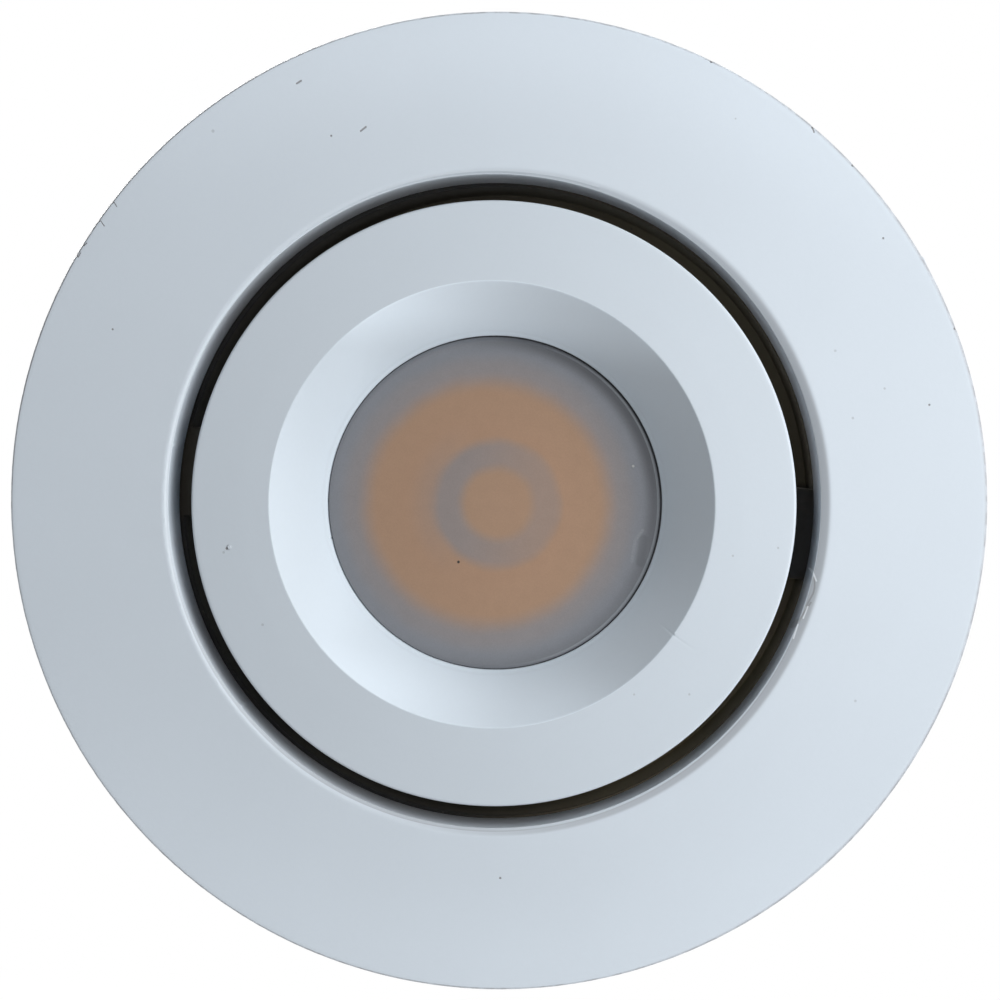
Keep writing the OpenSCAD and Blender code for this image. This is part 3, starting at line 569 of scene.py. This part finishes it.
def made_plain(piece):
    """Puts what a piece's modifiers make into its own mesh."""
    depsgraph = bpy.context.evaluated_depsgraph_get()
    plain = bpy.data.meshes.new_from_object(piece.evaluated_get(depsgraph))
    piece.modifiers.clear()
    piece.data = plain
    plain.name = piece.name
    return piece


def smoothed(piece, sharp=32):
    """Smooth shading, but for edges that turn by more than this many degrees."""
    piece.data.polygons.foreach_set("use_smooth", [True] * len(piece.data.polygons))
    piece.data.set_sharp_from_angle(angle=math.radians(sharp))
    return piece


def settled(piece, *nodes):
    """Finishes a piece that stands for CAD nodes and lets it move with their body."""
    if not piece.data.materials:
        piece.data.materials.append(FINISHES[SLOT_OF[nodes[0]]])
    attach(piece, BODY_OF[nodes[0]])
    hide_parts(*nodes)
    return piece


def merged(node, keep=None):
    """A CAD node's solids with their corners joined, or only those that keep chooses."""
    mesh = bmesh.new()
    mesh.from_mesh(frame["nodes"][node].data)
    bmesh.ops.remove_doubles(mesh, verts=mesh.verts, dist=0.0005 * MM)
    if keep:
        bmesh.ops.delete(mesh, geom=[vert for vert in mesh.verts if not keep(vert.co)], context="VERTS")
    return mesh


def eased_copy(node, name, width, keep=None):
    """A CAD node's shape with its edges rounded."""
    mesh = merged(node, keep)
    bmesh.ops.dissolve_limit(mesh, angle_limit=math.radians(0.4), verts=mesh.verts, edges=mesh.edges)
    piece = piece_of(name, mesh)
    rounding = piece.modifiers.new("rounding", "BEVEL")
    rounding.width = width * MM
    rounding.segments = 3
    rounding.limit_method = "ANGLE"
    rounding.angle_limit = math.radians(40)
    return smoothed(made_plain(piece))


def section(node, angle=44.3):
    """A turned CAD node's outline as (radius, y), cut by the half plane at this angle."""
    mesh = merged(node)
    corners = KDTree(len(mesh.verts))
    for vert in mesh.verts:
        corners.insert((math.hypot(vert.co.x, vert.co.z), vert.co.y, 0), vert.index)
    corners.balance()
    out = Vector((math.cos(math.radians(angle)), 0, math.sin(math.radians(angle))))
    everything = mesh.verts[:] + mesh.edges[:] + mesh.faces[:]
    bmesh.ops.bisect_plane(mesh, geom=everything, dist=1e-9, plane_co=(0, 0, 0),
                           plane_no=(-out.z, 0, out.x), clear_inner=True, clear_outer=True)
    start = max(mesh.verts, key=lambda vert: vert.co.dot(out))
    loop = [start]
    edge = start.link_edges[0]
    while edge.other_vert(loop[-1]) is not start:
        loop.append(edge.other_vert(loop[-1]))
        edge = next(other for other in loop[-1].link_edges if other is not edge)
    cut = [Vector((vert.co.dot(out), vert.co.y)) for vert in loop]
    mesh.free()
    outline = []
    for point, following in zip(cut, cut[1:] + cut[:1]):
        if point.x > 0:
            corner, _, gap = corners.find((*point, 0))
            corner = corner.to_2d()
            if gap < 0.03 * MM and (not outline or (corner - outline[-1]).length > 1e-6):
                outline.append(corner)
        if (point.x > 0) != (following.x > 0):
            share = point.x / (point.x - following.x)
            outline.append(Vector((0, point.y + share * (following.y - point.y))))
    ends = [i for i, point in enumerate(outline) if point.x == 0]
    if ends:
        outline = outline[ends[1]:] + outline[:ends[0] + 1]
    elif (outline[0] - outline[-1]).length < 1e-6:
        outline.pop()
    return outline


def eased(outline, radius, shallow=0.05):
    """Rounds an outline's sharp and shallow corners, in millimetres, and keeps its flats straight."""
    rounded = []
    for i, corner in enumerate(outline):
        before = outline[i - 1] - corner
        after = outline[(i + 1) % len(outline)] - corner
        shortest = min(before.length, after.length)
        turn = math.degrees((-before).angle(after)) if corner.x else 0
        if turn < GENTLE_TURN or (turn < SHARP_TURN and shortest < CURVE_STEP * MM):
            corners = [corner]
            support, long = FLAT_END * MM, LONG_FLAT * MM
        else:
            reach = min((radius if turn > SHARP_TURN else shallow) * MM, 0.4 * shortest)
            first = corner + before.normalized() * reach
            last = corner + after.normalized() * reach
            shares = (0, 0.2, 0.4, 0.6, 0.8, 1) if turn > SHARP_TURN else (0, 0.5, 1)
            corners = [
                first.lerp(corner, share).lerp(corner.lerp(last, share), share) for share in shares
            ]
            support, long = 2 * reach, 4 * reach
        if corner.x and before.length > long:
            corners.insert(0, corner + before.normalized() * support)
        if corner.x and after.length > long:
            corners.append(corner + after.normalized() * support)
        rounded += corners
    return rounded


def crisp(outline, corner, reach):
    """An outline with one corner in place of its points within reach of it."""
    changed = []
    for point in outline:
        if (point - corner).length > reach:
            changed.append(point)
        elif corner not in changed:
            changed.append(corner)
    return changed


def ramp(value, start, end):
    """Rises evenly from 0 at start to 1 at end."""
    return min(1.0, max(0.0, (value - start) / (end - start)))


def spread(segments, places=()):
    """Even angles in degrees all round, closer together near some places."""
    even = [360 * i / segments for i in range(segments)]
    clear = [angle for angle in even if not any(near(angle, place, FINE_REACH) for place in places)]
    steps = round(FINE_REACH / FINE_STEP)
    fine = {round(place + FINE_STEP * i, 2) % 360 for place in places for i in range(-steps, steps + 1)}
    return sorted(clear + list(fine))


def near(angle, place, width):
    """How close an angle is to a place: 1 on it, 0 beyond the width, in degrees."""
    gap = abs((angle - place + 180) % 360 - 180)
    return max(0.0, 1 - gap / width)


def turned(name, outline, angles, shift=None):
    """Turns an outline round the axis. shift(angle, radius, y) moves a point in millimetres."""
    mesh = bmesh.new()
    rings = []
    for point in outline:
        ring = []
        for angle in angles if point.x else angles[:1]:
            radius, y = point
            if shift:
                outwards, forwards = shift(angle, radius / MM, y / MM)
                radius += outwards * MM
                y -= forwards * MM
            turn = math.radians(angle)
            ring.append(mesh.verts.new((radius * math.cos(turn), y, radius * math.sin(turn))))
        rings.append(ring)
    following = rings[1:] + (rings[:1] if outline[0].x else [])
    for ring, other in zip(rings, following):
        for i in range(len(angles)):
            j = (i + 1) % len(angles)
            near_side = (ring[i % len(ring)], ring[j % len(ring)])
            far_side = (other[j % len(other)], other[i % len(other)])
            mesh.faces.new(dict.fromkeys(near_side + far_side))
    bmesh.ops.recalc_face_normals(mesh, faces=mesh.faces)
    return smoothed(piece_of(name, mesh))


def block(low, high):
    """A box between two corners."""
    mesh = bmesh.new()
    bmesh.ops.create_cube(mesh, size=1.0)
    for vert in mesh.verts:
        vert.co = [a if part < 0 else b for part, a, b in zip(vert.co, low, high)]
    return piece_of("block", mesh)


def rod(start, end, radius, segments=64):
    """A cylinder between two points."""
    start, end = Vector(start), Vector(end)
    along = end - start
    mesh = bmesh.new()
    bmesh.ops.create_cone(mesh, cap_ends=True, segments=segments, radius1=radius, radius2=radius,
                          depth=along.length)
    turn = along.to_track_quat("Z", "Y").to_matrix().to_4x4()
    mesh.transform(Matrix.Translation((start + end) / 2) @ turn)
    return piece_of("rod", mesh)


def carved(piece, operation, tools):
    """Joins solids to a piece or cuts them from it."""
    for tool in tools:
        change = piece.modifiers.new("change", "BOOLEAN")
        change.operation = operation
        change.solver = "EXACT"
        change.object = tool
    made_plain(piece)
    for tool in tools:
        bpy.data.objects.remove(tool)
    return smoothed(piece)


# Shapes that repeat or follow a path

class Growth(Tree):
    """A Geometry Nodes tree with named inputs that ends in one finished mesh."""

    def __init__(self, name, **inputs):
        super().__init__(bpy.data.node_groups.new(name, "GeometryNodeTree"))
        self.tree.is_modifier = True
        self.tree.interface.new_socket("Geometry", in_out="OUTPUT", socket_type="NodeSocketGeometry")
        for key, kind in (inputs | {"Finish": "Material"}).items():
            self.tree.interface.new_socket(key, in_out="INPUT", socket_type="NodeSocket" + kind)
        self.given = self.add("NodeGroupInput")

    def close(self, geometry):
        plain = self.add("GeometryNodeRealizeInstances", None, {"Geometry": geometry})
        coated = self.add("GeometryNodeSetMaterial", None,
                          {"Geometry": plain, "Material": self.given.of("Finish")})
        self.add("NodeGroupOutput", None, {"Geometry": coated})
        return self

    def grow(self, name, **values):
        """The mesh that the tree makes from these inputs."""
        piece = added(name, bpy.data.meshes.new(name))
        modifier = piece.modifiers.new(self.tree.name, "NODES")
        modifier.node_group = self.tree
        for item in self.tree.interface.items_tree:
            if item.in_out == "INPUT":
                modifier[item.identifier] = values[item.name]
        made_plain(piece)
        for value in values.values():
            if isinstance(value, bpy.types.Object):
                bpy.data.objects.remove(value)
        return smoothed(piece)


def copies_round_axis():
    """Evenly spaced copies of a blank round the light's axis."""
    tree = Growth("copies_round_axis", Blank="Object", Copies="Int")
    blank = tree.add("GeometryNodeObjectInfo", None, {"Object": tree.given.of("Blank")}, "Geometry")
    points = tree.add("GeometryNodePoints", None, {"Count": tree.given.of("Copies")})
    turn = tree.add("GeometryNodeInputIndex") * math.tau / tree.given.of("Copies")
    turn = tree.add("ShaderNodeCombineXYZ", None, {"Y": turn})
    turn = tree.add("FunctionNodeEulerToRotation", None, {"Euler": turn})
    copies = tree.add("GeometryNodeInstanceOnPoints", None,
                      {"Points": points, "Instance": blank, "Rotation": turn})
    return tree.close(copies)


def wire_on_path():
    """Round wire with closed ends along a path."""
    tree = Growth("wire_on_path", Path="Object", Thickness="Float")
    path = tree.add("GeometryNodeObjectInfo", None, {"Object": tree.given.of("Path")}, "Geometry")
    outline = tree.add("GeometryNodeCurvePrimitiveCircle", None,
                       {"Resolution": 20, "Radius": tree.given.of("Thickness") / 2})
    wire = tree.add("GeometryNodeCurveToMesh", None,
                    {"Curve": path, "Profile Curve": outline, "Fill Caps": True})
    return tree.close(wire)


def path_through(points):
    """A path for a wire, through points given in metres."""
    curve = bpy.data.curves.new("path", "CURVE")
    curve.dimensions = "3D"
    spline = curve.splines.new("POLY")
    spline.points.add(len(points) - 1)
    for knot, point in zip(spline.points, points):
        knot.co = (*point, 1)
    return added("path", curve)


COPIES = copies_round_axis()
WIRE = wire_on_path()


# Trim ring

TRIM_SEGMENTS = 720
BORE_BURRS = (175.4, 224.6)
# Where the bevel round the bore starts, in millimetres, and the angle at which it is widest
BORE_BEVEL_RADIUS, BORE_BEVEL_SIDE = 30.55, 27
FLANGE_SLOPE = 0.103
# Where the bore's wall starts and ends, in millimetres in front of the ceiling
WALL_BACK, WALL_FRONT = -1.7, 3.3


def uneven(angle, row, count):
    """Random ups and downs round a circle, about this many, from -1 to 1."""
    turn = math.radians(angle)
    return noise.noise(Vector((count * math.cos(turn), count * math.sin(turn), row)) / math.tau)


def trim_wear(angle, radius, y):
    """Nicks in the rim and the uneven paint on the edge of the bore."""
    front = -y
    if radius > 44.3 and front > 0.5:
        nick = max(near(angle, place, 0.3) for place in RIM_NICKS)
        burr = near(angle, RIM_BURR, 0.3 if angle > RIM_BURR else 1.1)
        uneven_edge = 0.02 * (uneven(angle, 0, 500) - 1)
        return ramp(radius, 44.45, 44.95) * (0.11 * burr - 0.035 * nick + uneven_edge), 0
    if radius < 30.1 and front > WALL_BACK - 0.1:
        share = ramp(front, WALL_BACK, WALL_FRONT)
        mouth = 0.18 * math.sin(math.radians(angle)) - 0.05
        draft = 0.16 + 0.12 * math.cos(math.radians(angle + 20))
        burr = max(near(angle, place, 0.5) for place in BORE_BURRS) if front > 2.3 else 0
        lean = math.cos(math.radians(angle - BORE_BEVEL_SIDE))
        recess = 0.08 + 0.08 * lean if front > 3.2 else 0
        return share * mouth - (1 - share) * draft - 0.08 * burr, -recess
    if radius < 31.0 and front > 2.3:
        lean = math.cos(math.radians(angle - BORE_BEVEL_SIDE))
        outwards = ramp(radius, 30.05, 30.35) * (0.24 * lean - 0.05)
        left = near(angle, 180, 100) ** 0.5
        ragged = left * (0.10 * uneven(angle, 0, 190) + 0.07 * uneven(angle, 2, 470))
        ragged += 0.08 * near(angle, 344, 10) * uneven(angle, 4, 470)
        corner = max(0.0, 1 - abs(radius - BORE_BEVEL_RADIUS) / 0.25)
        return outwards + corner * ragged, -FLANGE_SLOPE * outwards
    return 0, 0


def trim_casting():
    """Flange, collar and neck in one, with flat pads for the clips and the hole of the stop pin."""
    outline = eased(section("trim_ring"), 0.05, shallow=0.15)
    angles = spread(TRIM_SEGMENTS, (*RIM_NICKS, RIM_BURR, *BORE_BURRS))
    piece = turned("trim_casting", outline, angles, trim_wear)
    low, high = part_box("bracket_right")
    neck_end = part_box("trim_ring")[1].y
    pads = []
    for side in (-1, 1):
        xs = sorted((side * (low.x - MM), side * low.x))
        pads.append(block((xs[0], low.y, low.z), (xs[1], neck_end - 0.02 * MM, high.z)))
    carved(piece, "UNION", pads)
    low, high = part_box("stop_pin")
    middle = (low + high) / 2
    hole = rod((0, middle.y, low.z - MM), (0, middle.y, high.z), (high.x - low.x) / 2 + 0.03 * MM)
    carved(piece, "DIFFERENCE", [hole])
    return settled(piece, "trim_ring")


trim_casting()


def foam_wear(angle, radius, y):
    """The cut edge of foam is never quite round."""
    turn = math.radians(angle)
    return 0.06 * noise.noise(Vector((math.cos(turn), math.sin(turn), radius)) * 9), 0


seal = turned("foam_seal", eased(section("seal_gasket"), 0.22), spread(360), foam_wear)
settled(seal, "seal_gasket")
settled(turned("nylon_glide", eased(section("glide_ring"), 0.08), spread(360)), "glide_ring")
settled(eased_copy("swivel_ring", "black_swivel", 0.12), "swivel_ring")
settled(eased_copy("stop_pin", "steel_stop_pin", 0.12), "stop_pin")


def snap_wire():
    """Open wire ring in the neck's groove."""
    low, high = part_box("snap_ring")
    thickness = high.y - low.y
    radius = high.x - thickness / 2
    ends = merged("snap_ring")
    half_gap = min(abs(vert.co.x) for vert in ends.verts if vert.co.z > radius * 0.9) / radius
    ends.free()
    start = math.pi / 2 + math.asin(half_gap)
    sweep = math.tau - 2 * math.asin(half_gap)
    points = []
    for i in range(361):
        angle = start + sweep * i / 360
        points.append((radius * math.cos(angle), (low.y + high.y) / 2, radius * math.sin(angle)))
    wire = WIRE.grow("snap_wire", Path=path_through(points), Thickness=thickness,
                     Finish=FINISHES["spring_steel"])
    return settled(wire, "snap_ring")


snap_wire()


# Lamp head

HEAD_SEGMENTS = 576
# Bosses for the three screws and lugs for the two pivots
BOSS_RADIUS, BOSS_FRONT = 2.0 * MM, -2.6 * MM
LUG_RADIUS, LUG_START, LUG_SHORT = 3.6 * MM, 24.6 * MM, 0.4 * MM
CONE_NICK, LEDGE_NICK = 330.45, 198
# Where the cone's rim and the ledge round the lens are, in millimetres in front of the ceiling
CONE_RIM_RADIUS, CONE_RIM_FRONT, LEDGE_FRONT, LEDGE_BACK = 20.63, 4.40, -0.8, -1.4
# How much smaller than the CAD solid the photo shows the cone's rim and the disc
CONE_LESS, DISC_LESS = 0.33, 0.12


def lamp_wear(angle, radius, y):
    """The cone's true width, a nick in its rim and the sloped ledge round the lens with another."""
    front = -y
    if radius > 27:
        return -DISC_LESS, 0
    if radius < 15.97 and front > LEDGE_BACK:
        slope = ramp(radius, 15.95, 15.6) * ramp(front, LEDGE_BACK, LEDGE_FRONT)
        return 0.05 * near(angle, LEDGE_NICK, 0.6), -0.35 * slope
    if front > radius - 17.2:
        nick = near(angle, CONE_NICK, 0.5) * max(0.0, 1 - abs(radius - CONE_RIM_RADIUS) / 0.3)
        return 0.08 * nick - CONE_LESS * ramp(front, LEDGE_FRONT, CONE_RIM_FRONT), -0.05 * nick
    return 0, 0


def optic_seat(angle, radius, y):
    """The lens sits a little off centre, so its bevel shows only on one side."""
    if radius < 14.5 or y > 1.66:
        return 0, 0
    hidden = 0.5 - 0.5 * math.cos(math.radians(angle - 30))
    return 0.1 + 0.1 * hidden, hidden * min(max(0.0, y - 1.0), 0.35)


def lamp_casting():
    """Front disc, cone and skirt in one, with the screw bosses and the pivot lugs."""
    rim = Vector((CONE_RIM_RADIUS, -CONE_RIM_FRONT)) * MM
    outline = crisp(section("head_bezel"), rim, 0.2 * MM)
    angles = spread(HEAD_SEGMENTS, (CONE_NICK, LEDGE_NICK))
    piece = turned("lamp_casting", eased(outline, 0.10), angles, lamp_wear)
    low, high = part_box("head_bezel")
    screws = merged("bezel_screws")
    boss_ring = max(vert.co.z for vert in screws.verts) - BOSS_RADIUS
    screws.free()
    bosses = []
    for i in range(3):
        angle = math.pi / 2 + i * math.tau / 3
        x, z = boss_ring * math.cos(angle), boss_ring * math.sin(angle)
        bosses.append(rod((x, high.y - 0.01 * MM, z), (x, BOSS_FRONT, z), BOSS_RADIUS))
    washer_low, washer_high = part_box("friction_washers")
    pivot = (washer_low.y + washer_high.y) / 2
    lug = washer_high.x - LUG_SHORT
    lugs = [rod((side * LUG_START, pivot, 0), (side * lug, pivot, 0), LUG_RADIUS, 96) for side in (-1, 1)]
    carved(piece, "UNION", bosses + lugs)
    return settled(piece, "head_bezel")


lamp_casting()
settled(turned("frosted_optic", eased(section("tir_lens"), 0.10), spread(360), optic_seat), "tir_lens")
settled(turned("lens_seal", eased(section("lens_gasket"), 0.06), spread(360)), "lens_gasket")


def right_side(place):
    return place.x > 0


def top_one(place):
    return place.z > 15 * MM


def ringed(node, name, width, copies, keep):
    """A CAD node that repeats round the axis, made from one eased blank."""
    blank = eased_copy(node, "blank", width, keep)
    piece = COPIES.grow(name, Blank=blank, Copies=copies, Finish=FINISHES[SLOT_OF[node]])
    return settled(piece, node)


ringed("pivot_screws", "pivot_pair", 0.15, 2, right_side)
ringed("friction_washers", "washer_pair", 0.08, 2, right_side)
ringed("bezel_screws", "screw_trio", 0.18, 3, top_one)
ringed("led_screws", "board_screws", 0.10, 2, right_side)
ringed("bracket_rivets", "rivet_set", 0.05, 2, right_side)


# Heat sink

FINS = 24
FIN_CHAMFER, FIN_ROOT, FIN_HALF = 2.0 * MM, 6.5 * MM, 0.5 * MM
# Radii of the cable's duct, its bore and the seat of its grommet
DUCT_RADIUS, BORE_RADIUS, SEAT_RADIUS = 4.6 * MM, 2.6 * MM, 3.4 * MM


def fin_blank():
    """One fin, half a step round from the tilt axis."""
    low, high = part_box("heat_sink")
    mesh = merged("heat_sink")
    behind = [vert.co for vert in mesh.verts if vert.co.y > low.y + 10 * MM]
    reach = max(math.hypot(place.x, place.z) for place in behind)
    mesh.free()
    front = low.y + 2 * MM
    outline = [(FIN_ROOT, front), (reach, front), (reach, high.y - FIN_CHAMFER),
               (reach - FIN_CHAMFER, high.y), (FIN_ROOT, high.y)]
    mesh = bmesh.new()
    face = mesh.faces.new([mesh.verts.new((x, y, -FIN_HALF)) for x, y in outline])
    grown = bmesh.ops.extrude_face_region(mesh, geom=[face])["geom"]
    moved = [item for item in grown if isinstance(item, bmesh.types.BMVert)]
    bmesh.ops.translate(mesh, vec=(0, 0, 2 * FIN_HALF), verts=moved)
    bmesh.ops.recalc_face_normals(mesh, faces=mesh.faces)
    mesh.transform(Matrix.Rotation(math.pi / FINS, 4, "Y"))
    piece = piece_of("fin", mesh)
    rounding = piece.modifiers.new("rounding", "BEVEL")
    rounding.width = 0.18 * MM
    rounding.segments = 3
    return made_plain(piece)


def finned_sink():
    """Front plate, core and cable duct with the fins round them."""
    piece = turned("finned_sink", eased(section("heat_sink"), 0.2), spread(288))
    low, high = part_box("heat_sink")
    grommet_low, grommet_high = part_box("cable_grommet")
    z = (grommet_low.z + grommet_high.z) / 2
    duct = rod((0, low.y + 2 * MM, z), (0, high.y - 0.01 * MM, z), DUCT_RADIUS, 96)
    fins = COPIES.grow("fins", Blank=fin_blank(), Copies=FINS, Finish=FINISHES["black_alloy"])
    carved(piece, "UNION", [duct])
    carved(piece, "UNION", [fins])
    bore = rod((0, low.y - MM, z), (0, high.y + MM, z), BORE_RADIUS)
    seat = rod((0, grommet_low.y, z), (0, high.y + MM, z), SEAT_RADIUS)
    carved(piece, "DIFFERENCE", [bore, seat])
    piece.data.materials.clear()
    return settled(piece, "heat_sink")


finned_sink()
settled(eased_copy("cable_grommet", "cable_inlet_grommet", 0.3), "cable_grommet")


# Mounting clips

COIL_TURNS, COIL_PITCH, COIL_RADIUS, WIRE_THICKNESS = 4, 0.95 * MM, 1.15 * MM, 0.5 * MM
ARM_ANGLE = 60
LEG_ON_ARM, LEG_ON_BASE = 4 * MM, 2 * MM
COIL_SWEEP = 360 * COIL_TURNS + 90 - ARM_ANGLE
COIL_WIDTH = COIL_PITCH * COIL_SWEEP / 360


def clip_spring(side, turn):
    """Torsion spring round a hinge pin: one leg lies on the arm, the other on the bracket."""
    low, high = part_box("hinge_pin_right")
    pin = (low + high) / 2

    def point(angle, across, along=0.0):
        angle = math.radians(angle)
        x = COIL_RADIUS * math.cos(angle) - along * math.sin(angle)
        y = -COIL_RADIUS * math.sin(angle) - along * math.cos(angle)
        return Vector((pin.x + x, pin.y + y, across))

    start = ARM_ANGLE + 90
    half = COIL_WIDTH / 2
    points = [point(start, -half, -LEG_ON_ARM * i / 12) for i in range(12, 0, -1)]
    steps = 36 * COIL_TURNS
    for i in range(steps + 1):
        share = i / steps
        points.append(point(start + COIL_SWEEP * share, COIL_WIDTH * (share - 0.5)))
    points += [point(180, half, LEG_ON_BASE * i / 8) for i in range(1, 9)]
    points = [Matrix.Rotation(turn, 3, "Y") @ place for place in points]
    wire = WIRE.grow("coil_" + side, Path=path_through(points), Thickness=WIRE_THICKNESS,
                     Finish=FINISHES["spring_steel"])
    base, arm = (Vector((0, 0, z * math.cos(turn))) for z in (half, -half))
    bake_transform(wire)
    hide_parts("clip_spring_" + side)


for side, turn in (("right", 0.0), ("left", math.pi)):
    settled(eased_copy("bracket_" + side, "clip_base_" + side, 0.12), "bracket_" + side)
    settled(eased_copy("hinge_pin_" + side, "clip_pin_" + side, 0.12), "hinge_pin_" + side)
    settled(eased_copy("clip_arm_" + side, "spring_arm_" + side, 0.12), "clip_arm_" + side)
    settled(eased_copy("clip_tip_" + side, "soft_tip_" + side, 0.3), "clip_tip_" + side)
    clip_spring(side, turn)

# Pieces inside the head keep their CAD shapes
for name in ("lens_holder", "led_phosphor", "led_dam", "led_board", "led_holder", "thermal_pad"):
    frame["nodes"][name].material_slots[0].material = FINISHES[SLOT_OF[name]]


# Camera, light and floor

# Degrees: the light's turn round its axis in the photograph, then the camera's to the right and up
CAMERA_TURNS = (5.75, 3.551, 1.865)
# Millimetres: the focal length, and the camera's place behind, right of and above the origin
CAMERA_LENS = 77.57
CAMERA_PLACE = (200, 0.591, 0.313)


def photo_camera():
    """Stands where the photograph was taken from."""
    roll, side, height = (math.radians(angle) for angle in CAMERA_TURNS)
    level = Vector((math.cos(roll), 0, math.sin(roll)))
    upright = Vector((-math.sin(roll), 0, math.cos(roll)))
    back = (level * math.sin(side) - Vector((0, math.cos(side), 0))) * math.cos(height)
    back += upright * math.sin(height)
    right = upright.cross(back).normalized()
    up = back.cross(right)
    lens = bpy.data.cameras.new("photo_camera")
    lens.sensor_width = 36
    lens.lens = CAMERA_LENS
    lens.clip_start = 0.01
    camera = added("photo_camera", lens)
    turn = Matrix((right, up, back)).transposed().to_4x4()
    away, sideways, upwards = CAMERA_PLACE
    place = (back * away + right * sideways + up * upwards) * MM
    camera.matrix_world = Matrix.Translation(place) @ turn
    bpy.context.scene.camera = camera


def lamp(name, direction, distance, size, power):
    """A soft round lamp that shines at the middle of the part."""
    light = bpy.data.lights.new(name, "AREA")
    light.shape = "DISK"
    light.size = size
    light.energy = power
    place = Vector(direction).normalized()
    stand = added(name, light)
    turn = place.to_track_quat("Z", "Y").to_matrix().to_4x4()
    stand.matrix_world = Matrix.Translation(place * distance) @ turn


def seen_directly(tree):
    """1 for rays from the camera, a mirror or a clear piece, 0 for rays that carry light."""
    camera = tree.add("ShaderNodeLightPath", None, None, "Is Camera Ray")
    return camera.most(camera.of("Is Glossy Ray")).most(camera.of("Is Transmission Ray"))


def studio():
    """White all round for the eye, a gentle even light for the part."""
    world = bpy.data.worlds.new("studio")
    world.use_nodes = True
    bpy.context.scene.world = world
    tree = Tree(world.node_tree)
    strength = AMBIENT + (1 - AMBIENT) * seen_directly(tree)
    back = tree.add("ShaderNodeBackground", None, {"Color": (1, 1, 1, 1), "Strength": strength})
    tree.add("ShaderNodeOutputWorld", None, {"Surface": back})


def floor():
    """A pale floor under the part that fades into the white round it."""
    mesh = bmesh.new()
    bmesh.ops.create_circle(mesh, cap_ends=True, segments=96, radius=FLOOR_RADIUS)
    bmesh.ops.translate(mesh, vec=(0, 0, -FLOOR_DROP), verts=mesh.verts)
    piece = piece_of("floor", mesh)
    finish = bpy.data.materials.new("floor")
    finish.use_nodes = True
    tree = Tree(finish.node_tree)
    place = tree.add("ShaderNodeTexCoord", None, None, "Object")
    flat = tree.add("ShaderNodeVectorMath", {"operation": "MULTIPLY"}, {0: place, 1: (1, 1, 0)})
    radius = tree.add("ShaderNodeVectorMath", {"operation": "LENGTH"}, {0: flat}, "Value")
    far = tree.add("ShaderNodeMapRange", {"interpolation_type": "SMOOTHSTEP"},
                   {"Value": radius, "From Min": 0.25 * FLOOR_RADIUS, "From Max": 0.97 * FLOOR_RADIUS})
    seen = seen_directly(tree)
    matt = tree.add("ShaderNodeBsdfDiffuse", None, {"Color": (0.5, 0.5, 0.5, 1)})
    glow = tree.add("ShaderNodeEmission", None, {"Strength": 0.74 * seen})
    near_by = tree.add("ShaderNodeAddShader", None, {0: matt, 1: glow})
    white = tree.add("ShaderNodeEmission", None, {"Strength": seen})
    surface = tree.add("ShaderNodeMixShader", None, {0: far, 1: near_by, 2: white})
    tree.add("ShaderNodeOutputMaterial", None, {"Surface": surface})
    piece.data.materials.append(finish)


photo_camera()
key = math.radians(KEY_SIDE)
lamp("key", (math.sin(key), -math.cos(key), math.sin(key) * math.tan(math.radians(KEY_HEIGHT))),
     KEY_DISTANCE, KEY_SIZE, KEY_POWER)
lamp("rear", (-0.5, 0.75, 0.45), REAR_DISTANCE, REAR_SIZE, REAR_POWER)
studio()
floor()
bpy.context.scene.view_settings.view_transform = "Standard"
